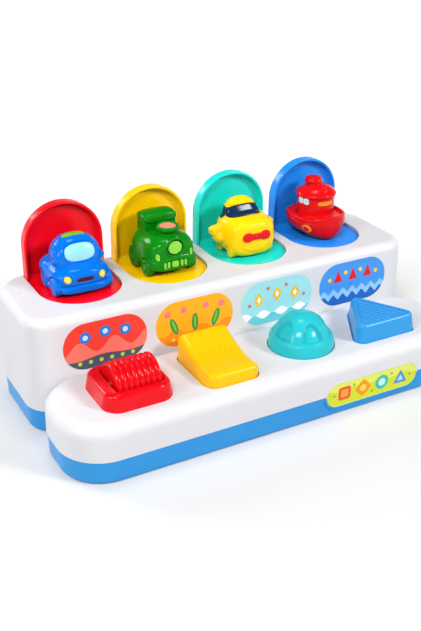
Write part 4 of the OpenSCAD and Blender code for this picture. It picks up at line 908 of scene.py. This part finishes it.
def grown(name, tree, values, start=None):
    """Mesh that a tree makes: inputs are set by their sockets' identifiers, then it is evaluated."""
    obj = bpy.data.objects.new(name, start or bpy.data.meshes.new(name))
    scene.collection.objects.link(obj)
    modifier = obj.modifiers.new(name, "NODES")
    modifier.node_group = tree
    for item in tree.interface.items_tree:
        if item.item_type == "SOCKET" and item.in_out == "INPUT" and item.name in values:
            modifier[item.identifier] = values[item.name]
    settle(obj)
    mesh = obj.data
    bpy.data.objects.remove(obj)
    return mesh


def ribbed_drum_tree():
    """Core rod with round ribs in a row along X."""
    tree = new_tree("ribbed_drum", (("Ribs", "NodeSocketInt"), ("First", "NodeSocketVector"),
                                    ("Step", "NodeSocketVector"), ("Ring Radius", "NodeSocketFloat"),
                                    ("Rib Radius", "NodeSocketFloat"), ("Core Radius", "NodeSocketFloat"),
                                    ("Core Length", "NodeSocketFloat"), ("Material", "NodeSocketMaterial")))
    given = add_node(tree, "NodeGroupInput").outputs
    row = add_node(tree, "GeometryNodeMeshLine", {"Count": given["Ribs"], "Start Location": given["First"],
                                                  "Offset": given["Step"]})
    ring = add_node(tree, "GeometryNodeCurvePrimitiveCircle", {"Resolution": 96,
                                                               "Radius": given["Ring Radius"]})
    bead = add_node(tree, "GeometryNodeCurvePrimitiveCircle", {"Resolution": 24,
                                                               "Radius": given["Rib Radius"]})
    rib = add_node(tree, "GeometryNodeCurveToMesh", {"Curve": ring.outputs["Curve"],
                                                     "Profile Curve": bead.outputs["Curve"]})
    ribs = add_node(tree, "GeometryNodeInstanceOnPoints", {"Points": row.outputs["Mesh"],
                                                           "Instance": rib.outputs["Mesh"],
                                                           "Rotation": (0, math.pi / 2, 0)})
    rod = add_node(tree, "GeometryNodeMeshCylinder", {"Vertices": 96, "Radius": given["Core Radius"],
                                                      "Depth": given["Core Length"]})
    core = add_node(tree, "GeometryNodeTransform", {"Geometry": rod.outputs["Mesh"],
                                                    "Rotation": (0, math.pi / 2, 0)})
    both = add_node(tree, "GeometryNodeJoinGeometry", {"Geometry": core.outputs["Geometry"]})
    tree.links.new(ribs.outputs["Instances"], both.inputs["Geometry"])
    real = add_node(tree, "GeometryNodeRealizeInstances", {"Geometry": both.outputs["Geometry"]})
    done = add_node(tree, "GeometryNodeSetMaterial", {"Geometry": real.outputs["Geometry"],
                                                      "Material": given["Material"]})
    add_node(tree, "NodeGroupOutput", {"Geometry": done.outputs["Geometry"]})
    return tree


RIBS = 8
RIB_PITCH = 32.4 / RIBS
DRUM_Z = DECK_Z + 8.0
drum = grown("roller_drum_ribs", ribbed_drum_tree(), {
    "Ribs": RIBS, "First": ((0.5 - RIBS / 2) * RIB_PITCH, 0, 0), "Step": (RIB_PITCH, 0, 0),
    "Ring Radius": 13.4, "Rib Radius": 2.1, "Core Radius": 14.2, "Core Length": 32.0,
    "Material": KEY_RED})
drum.transform(Matrix.Scale(MM, 4) @ Matrix.Translation((ROLLER_X, KEY_Y, DRUM_Z)))
dress("roller_ribbed_drum", drum, KEY_RED, "roller", "red_plastic", ("roller_drum",))


# Square key: a slanted pad with a hollowed top

def add_bead(shape, path, radius, count=10):
    """Fine raised bead along a path that lies nearly flat."""
    rings = []
    for k, p in enumerate(path):
        along = (path[min(k + 1, len(path) - 1)] - path[max(k - 1, 0)]).normalized()
        side = along.cross(Vector((0, 0, 1))).normalized()
        up = side.cross(along)
        thick = radius * (0.3 if k in (0, len(path) - 1) else 1.0)
        turns = [ROUND * i / count for i in range(count)]
        rings.append([p + side * (thick * math.cos(t)) + up * (thick * math.sin(t)) for t in turns])
    add_rings(shape, rings)


def make_square_key():
    """Pad that rises from 9.5 to 18.5 mm above the deck, its top sagging by 3 mm."""
    edge, half_w, reach, foot, waist = 5.0, 14.75, 21.0, 42.0, 2.75

    def top(y):
        y = max(-reach, min(reach, y))
        return DECK_Z + 14.0 + 4.5 * y / reach - 3.0 * (1 - (y / reach) ** 2)

    rings = []
    for t in (0, 0.02, 0.25, 0.5, 0.75, 0.98, 1):
        inset = waist * (1 - t)
        ring = rounded_ring(rectangle(half_w - inset, reach - inset), 9 - 4 * t)
        rings.append([Vector((x, y, foot + (top(cy) - edge - foot) * t)) for x, y, cx, cy in ring])
    for a in QUARTER[1:]:
        ring = rounded_ring(rectangle(half_w, reach), max(edge * math.cos(a), 0.01))
        rings.append([Vector((x, y, top(cy) - edge + edge * math.sin(a))) for x, y, cx, cy in ring])
    for k in range(1, 9):
        f = 1 - k / 8.02
        rings.append([Vector((cx * f, cy * f, top(cy * f))) for x, y, cx, cy in ring])
    shape = below("square_key", KEY_FOOT + 0.5)
    add_rings(shape, moved(rings, KEY_XS[1]))
    piece("square_pad", shape, KEY_YELLOW, "square_key", "yellow_plastic", ("square_key",))
    lines = bmesh.new()
    for radius in (6.0, 9.5, 13.0):
        path = []
        for k in range(25):
            a = math.radians(200 + 140 * k / 24)
            x, y = radius * math.cos(a), 7.0 + radius * math.sin(a)
            path.append(Vector((KEY_XS[1] + x, KEY_Y + y, top(y) + 0.02)))
        add_bead(lines, path, 0.5)
    piece("square_pad_beads", lines, KEY_YELLOW, "square_key", "yellow_plastic")


make_square_key()


# Twisting dome: half an ellipsoid stepped in over a brim, with arched windows sunk between five ribs

DOME_R, DOME_H = 24.3, 26.5
WINDOW_FOOT, WINDOW_TIP, WINDOW_TURN = 10.5, 23.0, 119.4
WINDOW_HALF, WINDOW_SUNK, WINDOW_EDGE = 8.4, 3.4, 0.8
BRIM_H, BRIM_STEP, BRIM_EDGE = 8.0, 1.1, 1.4


def eased(share):
    """Share from 0 to 1 with smooth ends."""
    t = max(0.0, min(1.0, share))
    return t * t * (3 - 2 * t)


def window_depth(turn, radius, height):
    """How far the dome is sunk at an angle round it, on a circle of some radius at some height."""
    aside = math.radians((math.degrees(turn) - WINDOW_TURN + 36) % 72 - 36)
    u = radius * math.sin(aside) / WINDOW_HALF
    v = (height - WINDOW_FOOT) / (WINDOW_TIP - WINDOW_FOOT)
    inside = min((1 - math.hypot(u, max(v, 0.0))) * WINDOW_HALF, height - WINDOW_FOOT)
    return BRIM_STEP * eased((height - BRIM_H) / BRIM_EDGE) + WINDOW_SUNK * eased(inside / WINDOW_EDGE)


def make_dome():
    """Band and dome turned as one, with the windows pressed in."""
    count = 320
    turns = [ROUND * i / count for i in range(count)]
    rings = []
    for r, z in ((0.01, -1.9), (24.2, -1.9), (DOME_R, -1.5)):
        rings.append([Vector((r * math.cos(t), r * math.sin(t), z)) for t in turns])
    for k in range(91):
        rise = math.radians(k)
        ring = []
        for t in turns:
            sunk = window_depth(t, DOME_R * math.cos(rise), DOME_H * math.sin(rise))
            r = max((DOME_R - sunk) * math.cos(rise), 0.01)
            ring.append(Vector((r * math.cos(t), r * math.sin(t), (DOME_H - sunk) * math.sin(rise))))
        rings.append(ring)
    shape = below("twist_dome", KEY_FOOT)
    add_rings(shape, moved(rings, KEY_XS[2], DECK_Z))
    piece("dome_knob", shape, DOME_TEAL, "twist_dome", "teal_plastic", ("twist_dome",), crease=50.0)


make_dome()


# Triangle key: a rimmed panel with fine ribs laid out by Geometry Nodes

TRIANGLE = [(-19.5, -17.0), (19.5, -17.0), (0.0, 17.0)]
TRIANGLE_TOP = 57.5
BARS_Z = 56.2
PANEL_EDGE = ((4.3, 0), (4.5, 0.1), (4.65, 0.35), (4.7, 1.2), (4.85, 1.45), (5.1, 1.5))


def make_triangle_key():
    """Rounded triangle with a rim round a sunk panel."""
    steps = [(0.0, 41.6), (0.0, DECK_Z), (1.45, TRIANGLE_TOP - 3.1)]
    steps += [(1.5 + 2.8 * (1 - math.cos(a)), TRIANGLE_TOP - 3.0 + 3.0 * math.sin(a)) for a in QUARTER]
    steps += [(inset, TRIANGLE_TOP - down) for inset, down in PANEL_EDGE]
    rings = []
    for inset, z in steps:
        ring = rounded_ring(TRIANGLE, 6.5 - inset, 12, 4)
        rings.append([Vector((x, y, z)) for x, y, cx, cy in ring])
    centre = Vector((0, -5.6, 0))
    for k in range(1, 5):
        f = 1 - k / 4.04
        flat = [centre + (Vector((x, y, 0)) - centre) * f for x, y, cx, cy in ring]
        rings.append([p + Vector((0, 0, z)) for p in flat])
    shape = below("triangle_key", KEY_FOOT)
    add_rings(shape, moved(rings, KEY_XS[3]))
    piece("triangle_pad", shape, TRIANGLE_BLUE, "triangle_key", "blue_plastic", ("triangle_key",))


def bar_row_tree():
    """Row of round bars, each shorter than the one before."""
    tree = new_tree("bar_row", (("Bars", "NodeSocketInt"), ("First", "NodeSocketVector"),
                                ("Step", "NodeSocketVector"), ("Length", "NodeSocketFloat"),
                                ("Taper", "NodeSocketFloat"), ("Bar Radius", "NodeSocketFloat"),
                                ("Material", "NodeSocketMaterial")))
    given = add_node(tree, "NodeGroupInput").outputs
    row = add_node(tree, "GeometryNodeMeshLine", {"Count": given["Bars"], "Start Location": given["First"],
                                                  "Offset": given["Step"]})
    line = add_node(tree, "GeometryNodeCurvePrimitiveLine", {"Start": (-0.5, 0, 0), "End": (0.5, 0, 0)})
    round_bar = add_node(tree, "GeometryNodeCurvePrimitiveCircle", {"Resolution": 20,
                                                                    "Radius": given["Bar Radius"]})
    bar = add_node(tree, "GeometryNodeCurveToMesh", {"Curve": line.outputs["Curve"], "Fill Caps": True,
                                                     "Profile Curve": round_bar.outputs["Curve"]})
    index = add_node(tree, "GeometryNodeInputIndex")
    lost = add_node(tree, "ShaderNodeMath", {0: index.outputs["Index"], 1: given["Taper"]},
                    operation="MULTIPLY")
    left = add_node(tree, "ShaderNodeMath", {0: given["Length"], 1: lost.outputs[0]}, operation="SUBTRACT")
    size = add_node(tree, "ShaderNodeCombineXYZ", {"X": left.outputs[0], "Y": 1.0, "Z": 0.8})
    bars = add_node(tree, "GeometryNodeInstanceOnPoints", {"Points": row.outputs["Mesh"],
                                                           "Instance": bar.outputs["Mesh"],
                                                           "Scale": size.outputs["Vector"]})
    real = add_node(tree, "GeometryNodeRealizeInstances", {"Geometry": bars.outputs["Instances"]})
    done = add_node(tree, "GeometryNodeSetMaterial", {"Geometry": real.outputs["Geometry"],
                                                      "Material": given["Material"]})
    add_node(tree, "NodeGroupOutput", {"Geometry": done.outputs["Geometry"]})
    return tree


make_triangle_key()
bars = grown("triangle_bars", bar_row_tree(), {
    "Bars": 6, "First": (-4.85, -7.3, 0), "Step": (0, 4.0, 0), "Length": 39.6, "Taper": 4.6,
    "Bar Radius": 1.1, "Material": TRIANGLE_BLUE})
(right_x, front_y), (tip_x, tip_y) = TRIANGLE[1:]
slope = math.atan2(tip_y - front_y, tip_x - right_x)
bars.transform(Matrix.Scale(MM, 4) @ Matrix.Translation((KEY_XS[3], KEY_Y, BARS_Z))
               @ Matrix.Rotation(slope, 4, "Z"))
dress("triangle_panel_ribs", bars, TRIANGLE_BLUE, "triangle_key", "blue_plastic")


# Base screws: crossed heads placed by Geometry Nodes on the screw points

def crossed_screw_tree():
    """Pan heads with a cross recess, and their shanks, on the points of the given mesh."""
    tree = new_tree("crossed_screws", (("Places", "NodeSocketGeometry"), ("Head Radius", "NodeSocketFloat"),
                                       ("Head Height", "NodeSocketFloat"), ("Slot", "NodeSocketVector"),
                                       ("Shank Radius", "NodeSocketFloat"),
                                       ("Shank Length", "NodeSocketFloat"),
                                       ("Shank Place", "NodeSocketVector"),
                                       ("Slot Place", "NodeSocketVector"),
                                       ("Material", "NodeSocketMaterial")))
    given = add_node(tree, "NodeGroupInput").outputs
    head = add_node(tree, "GeometryNodeMeshCylinder", {"Vertices": 40, "Radius": given["Head Radius"],
                                                       "Depth": given["Head Height"]})
    slot = add_node(tree, "GeometryNodeMeshCube", {"Size": given["Slot"]})
    one = add_node(tree, "GeometryNodeTransform", {"Geometry": slot.outputs["Mesh"],
                                                   "Translation": given["Slot Place"]})
    two = add_node(tree, "GeometryNodeTransform", {"Geometry": one.outputs["Geometry"],
                                                   "Rotation": (0, 0, math.pi / 2)})
    cut = add_node(tree, "GeometryNodeMeshBoolean", {"Mesh 1": head.outputs["Mesh"]}, operation="DIFFERENCE")
    tree.links.new(one.outputs["Geometry"], cut.inputs["Mesh 2"])
    tree.links.new(two.outputs["Geometry"], cut.inputs["Mesh 2"])
    rod = add_node(tree, "GeometryNodeMeshCylinder", {"Vertices": 24, "Radius": given["Shank Radius"],
                                                      "Depth": given["Shank Length"]})
    shank = add_node(tree, "GeometryNodeTransform", {"Geometry": rod.outputs["Mesh"],
                                                     "Translation": given["Shank Place"]})
    screw = add_node(tree, "GeometryNodeJoinGeometry", {"Geometry": shank.outputs["Geometry"]})
    tree.links.new(cut.outputs["Mesh"], screw.inputs["Geometry"])
    set_out = add_node(tree, "GeometryNodeInstanceOnPoints", {"Points": given["Places"],
                                                              "Instance": screw.outputs["Geometry"]})
    real = add_node(tree, "GeometryNodeRealizeInstances", {"Geometry": set_out.outputs["Instances"]})
    done = add_node(tree, "GeometryNodeSetMaterial", {"Geometry": real.outputs["Geometry"],
                                                      "Material": given["Material"]})
    add_node(tree, "NodeGroupOutput", {"Geometry": done.outputs["Geometry"]})
    return tree


SCREW_POINTS = [(-147.5, 12.0), (-147.5, 55.5), (147.5, 12.0), (147.5, 55.5), (0, 36.8),
                (-147.5, -44.0), (147.5, -44.0)]
SCREW_Z = 3.2
points = bpy.data.meshes.new("screw_points")
points.from_pydata([(x, y, SCREW_Z) for x, y in SCREW_POINTS], [], [])
screws = grown("crossed_screws", crossed_screw_tree(), {
    "Head Radius": 3.0, "Head Height": 1.6, "Slot": (0.8, 4.2, 1.4), "Slot Place": (0, 0, -0.7),
    "Shank Radius": 1.35, "Shank Length": 14.0, "Shank Place": (0, 0, 7.3), "Material": STEEL}, points)
screws.transform(Matrix.Scale(MM, 4))
dress("base_cross_screws", screws, STEEL, "housing", "steel", ("base_screws",))


# Printed labels: plain shapes in flat colours, laid a hair's breadth over the film

INKS = {}
PRINT_LIFT, PRINT_STEP = 0.03, 0.02


def ink(code):
    """Film printed in one colour, made once."""
    if code not in INKS:
        shade = "#" + "".join("%02x" % int(int(code[i:i + 2], 16) * 0.96) for i in (1, 3, 5))
        INKS[code] = printed_film("ink_" + code[1:], code, shade)
    return INKS[code]


def disc(u, v, wide, high=None, power=2.0, turn=0.0, count=40):
    """Oval or rounded rectangle on a label."""
    points = []
    c, s = math.cos(math.radians(turn)), math.sin(math.radians(turn))
    for i in range(count):
        a, b = oval(ROUND * i / count, wide, -(high or wide), 0, high or wide, power)
        points.append((u + a * c - b * s, v + a * s + b * c))
    return points


def kite(u, v, wide, high):
    """Diamond on a label."""
    return [(u + wide, v), (u, v + high), (u - wide, v), (u, v - high)]


def repeat(code, places, draw, *size):
    """Same shape in one ink at several places."""
    return [(code, draw(u, v, *size)) for u, v in places]


def half_height(u, half_w, half_h, corner):
    """Half height of a rounded label at a place along it."""
    past = max(0.0, abs(u) - (half_w - corner))
    return half_h - corner + math.sqrt(max(0.0, corner ** 2 - past ** 2))


def band(half_w, half_h, corner, low, high):
    """Band across a label between two curves, clipped to the label's outline."""
    us = [-half_w + 2 * half_w * k / 60 for k in range(61)]
    rims = [half_height(u, half_w, half_h, corner) for u in us]
    upper = [(u, max(-r, min(r, high(u)))) for u, r in zip(us, rims)]
    lower = [(u, max(-r, min(r, low(u)))) for u, r in zip(us, rims)]
    return lower, upper


def lay_print(name, shapes, place, nodes=()):
    """Shapes of (ink, outline or band) on a plane of the housing; each lies a little over the last."""
    shape = bmesh.new()
    inks = list(dict.fromkeys(code for code, outline in shapes))
    for layer, (code, outline) in enumerate(shapes):
        lift = PRINT_LIFT + PRINT_STEP * layer
        rows = outline if isinstance(outline, tuple) else (outline,)
        rows = [[shape.verts.new(place @ Vector((u, v, lift))) for u, v in row] for row in rows]
        faces = rows
        if len(rows) == 2:
            lower, upper = rows
            gaps = [(a.co - b.co).length for a, b in zip(lower, upper)]
            faces = [(lower[k], lower[k + 1], upper[k + 1], upper[k]) for k in range(len(lower) - 1)
                     if gaps[k] + gaps[k + 1] > 0.02]
        for corners in faces:
            shape.faces.new(corners).material_index = inks.index(code)
    loose = [v for v in shape.verts if not v.link_faces]
    bmesh.ops.delete(shape, geom=loose, context="VERTS")
    mesh = metres(name, shape)
    for code in inks:
        mesh.materials.append(ink(code))
    obj = bpy.data.objects.new(name, mesh)
    scene.collection.objects.link(obj)
    attach(obj, "housing", nodes)


def wave(base, size, pitch, shift=0.0):
    """Wavy line along a label."""
    return lambda u: base + size * math.sin(ROUND * (u / pitch + shift))


def zigzag(base, size, pitch):
    """Line of even teeth along a label."""
    return lambda u: base + size * abs((u / pitch) % 1 * 2 - 1)


BOTTOM, TOP = wave(-30, 0, 1), wave(30, 0, 1)
LABEL = (31.5, 17.5, 17.0)


def label_prints():
    """Plain prints of the four tower labels, in the colours of their lids."""
    arch = ((-15, 6.5), (0, 8.5), (15, 6.5))
    red = [("#f47a6b", band(*LABEL, BOTTOM, wave(-1, 4.5, 26))),
           ("#4c566b", band(*LABEL, BOTTOM, wave(-9.5, 1.0, 40, 0.3)))]
    red += repeat("#b9d53a", [(-20 + 8 * k, -12.6) for k in range(6)], disc, 1.5)
    red += repeat("#2f7fe0", arch, disc, 4.2) + repeat("#cfe8ff", arch, disc, 2.0)
    leaves = ((-17, 20), (0, 0), (17, -20))
    amber = [("#f7941d", band(*LABEL, BOTTOM, wave(-6, 2.2, 21)))]
    amber += [("#2e9e43", disc(u, -1.5, 2.6, 7.0, 2.0, turn)) for u, turn in leaves]
    amber += [("#7cc64a", disc(u, -1.0, 1.0, 5.0, 2.0, turn)) for u, turn in leaves]
    amber += repeat("#f27c8d", ((-9, 10), (9, 10), (-22, 9), (22, 9)), disc, 2.4)
    amber += repeat("#fde29a", [(-18 + 9 * k, -12.0) for k in range(5)], disc, 1.3)
    row = ((-16, 3), (0, 5), (16, 3))
    teal = [("#ffffff", band(*LABEL, BOTTOM, wave(-8, 1.8, 16))),
            ("#6cc8d6", band(*LABEL, BOTTOM, wave(-11, 1.8, 16, 0.5)))]
    teal += repeat("#f9c623", row, kite, 4.2, 6.2) + repeat("#ffffff", row, kite, 1.8, 2.8)
    teal += repeat("#ee6d4f", ((-8, 11), (8, 11), (-24, 0), (24, 0)), disc, 1.4)
    blue = [("#8ec6f5", band(*LABEL, BOTTOM, zigzag(-8, 5, 9.0))),
            ("#2463b8", band(*LABEL, BOTTOM, zigzag(-13, 5, 9.0)))]
    blue += [("#e2242b", [(u - 4, 2), (u + 4, 2), (u, 12)]) for u in (-14, 0, 14)]
    blue += repeat("#fbd038", ((-7, 9), (7, 9), (-22, 5), (22, 5)), disc, 1.7)
    return {"red": red, "yellow": amber, "teal": teal, "blue": blue}


WALL_SLOPE = 0.03
LABEL_Z = 62.5
LABEL_Y = -8.0 + WALL_SLOPE * (LABEL_Z - SKIRT_Z)
UPRIGHT = Matrix.Rotation(math.pi / 2, 4, "X")
for (colour, shapes), x in zip(label_prints().items(), BAY_XS):
    lean = Matrix.Rotation(math.pi / 2 - math.atan(WALL_SLOPE), 4, "X")
    lay_print("tower_print_" + colour, shapes, Matrix.Translation((x, LABEL_Y, LABEL_Z)) @ lean)

STRIP = (40.5, 9.5, 9.5)
STRIP_X, STRIP_Y, STRIP_Z = 72.0, -82.2, 17.0
TONGUE_Y = -82.48
strip = [("#d5de3c", band(*STRIP, BOTTOM, TOP)), ("#e3e96a", band(*STRIP, wave(2.5, 1.2, 22), TOP)),
         ("#ef5a3c", disc(-25, 0, 5.4, 5.4, 6)), ("#f9a13a", disc(-25, 0, 3.2, 3.2, 6)),
         ("#f39a1f", disc(-8.5, 0, 5.4, 5.4, 6, 45)), ("#fbd75a", disc(-8.5, 0, 2.8)),
         ("#35bfae", disc(8.5, 0, 5.8)), ("#bfeee6", disc(8.5, 0, 3.2)),
         ("#3a8fe0", [(19.5, -5), (31.5, -5), (25.5, 5.6)]),
         ("#b5dbfa", [(22.6, -3.2), (28.4, -3.2), (25.5, 2)])]
strip += repeat("#7fae2a", ((-34, 0), (-17, 5), (0, -5), (17, 5), (34, 0)), disc, 0.9)
on_deck_front = Matrix.Translation((STRIP_X, STRIP_Y, STRIP_Z)) @ UPRIGHT
lay_print("front_strip_print", strip, on_deck_front, ("front_label",))


def strip_edge(u):
    """Upper limit of the blue border: the strip's lower edge, and the skirt's top beside it."""
    return -half_height(u, *STRIP) if abs(u) < STRIP[0] else SKIRT_Z - STRIP_Z


border = [("#3595d8", band(42.4, 11.4, 11.4, BOTTOM, strip_edge))]
on_tongue = Matrix.Translation((STRIP_X, TONGUE_Y, STRIP_Z)) @ UPRIGHT
lay_print("front_strip_border", border, on_tongue)


# Hidden springs: steel copies of the CAD springs; the flaps' coils are cut across at even steps along X

COIL_HALF, COIL_STEP = 4.7, 0.9


def short_coil(name, node):
    """Steel copy of a CAD spring on the housing, with a mesh of its own."""
    coil = finish(name, cad_copy(node), STEEL, "housing", "steel", (node,))
    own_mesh(coil)


for key in ("roller", "square", "dome", "triangle"):
    short_coil("latch_coil_" + key, "latch_spring_" + key)
for key in ("square", "triangle"):
    short_coil("key_coil_" + key, key + "_key_spring")

for colour, x in zip(COLOURS, BAY_XS):
    node = "flap_spring_" + colour
    coil = cad_copy(node)
    for k in range(-5, 6):
        bisect(coil, (x + COIL_STEP * k, 0, 0), (1, 0, 0))
    coil = finish("flap_coil_" + colour, coil, STEEL, None, "steel", (node,))
    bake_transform(coil)


# Materials of the CAD nodes that stay as they are

for part in frame["record"]["subparts"]:
    for slot in frame["nodes"][part["node"]].material_slots:
        slot.material = MATERIALS[part["material_slot"]]
for colour in COLOURS:
    for slot in frame["nodes"]["tower_label_" + colour].material_slots:
        slot.material = LABEL_FILMS[colour]
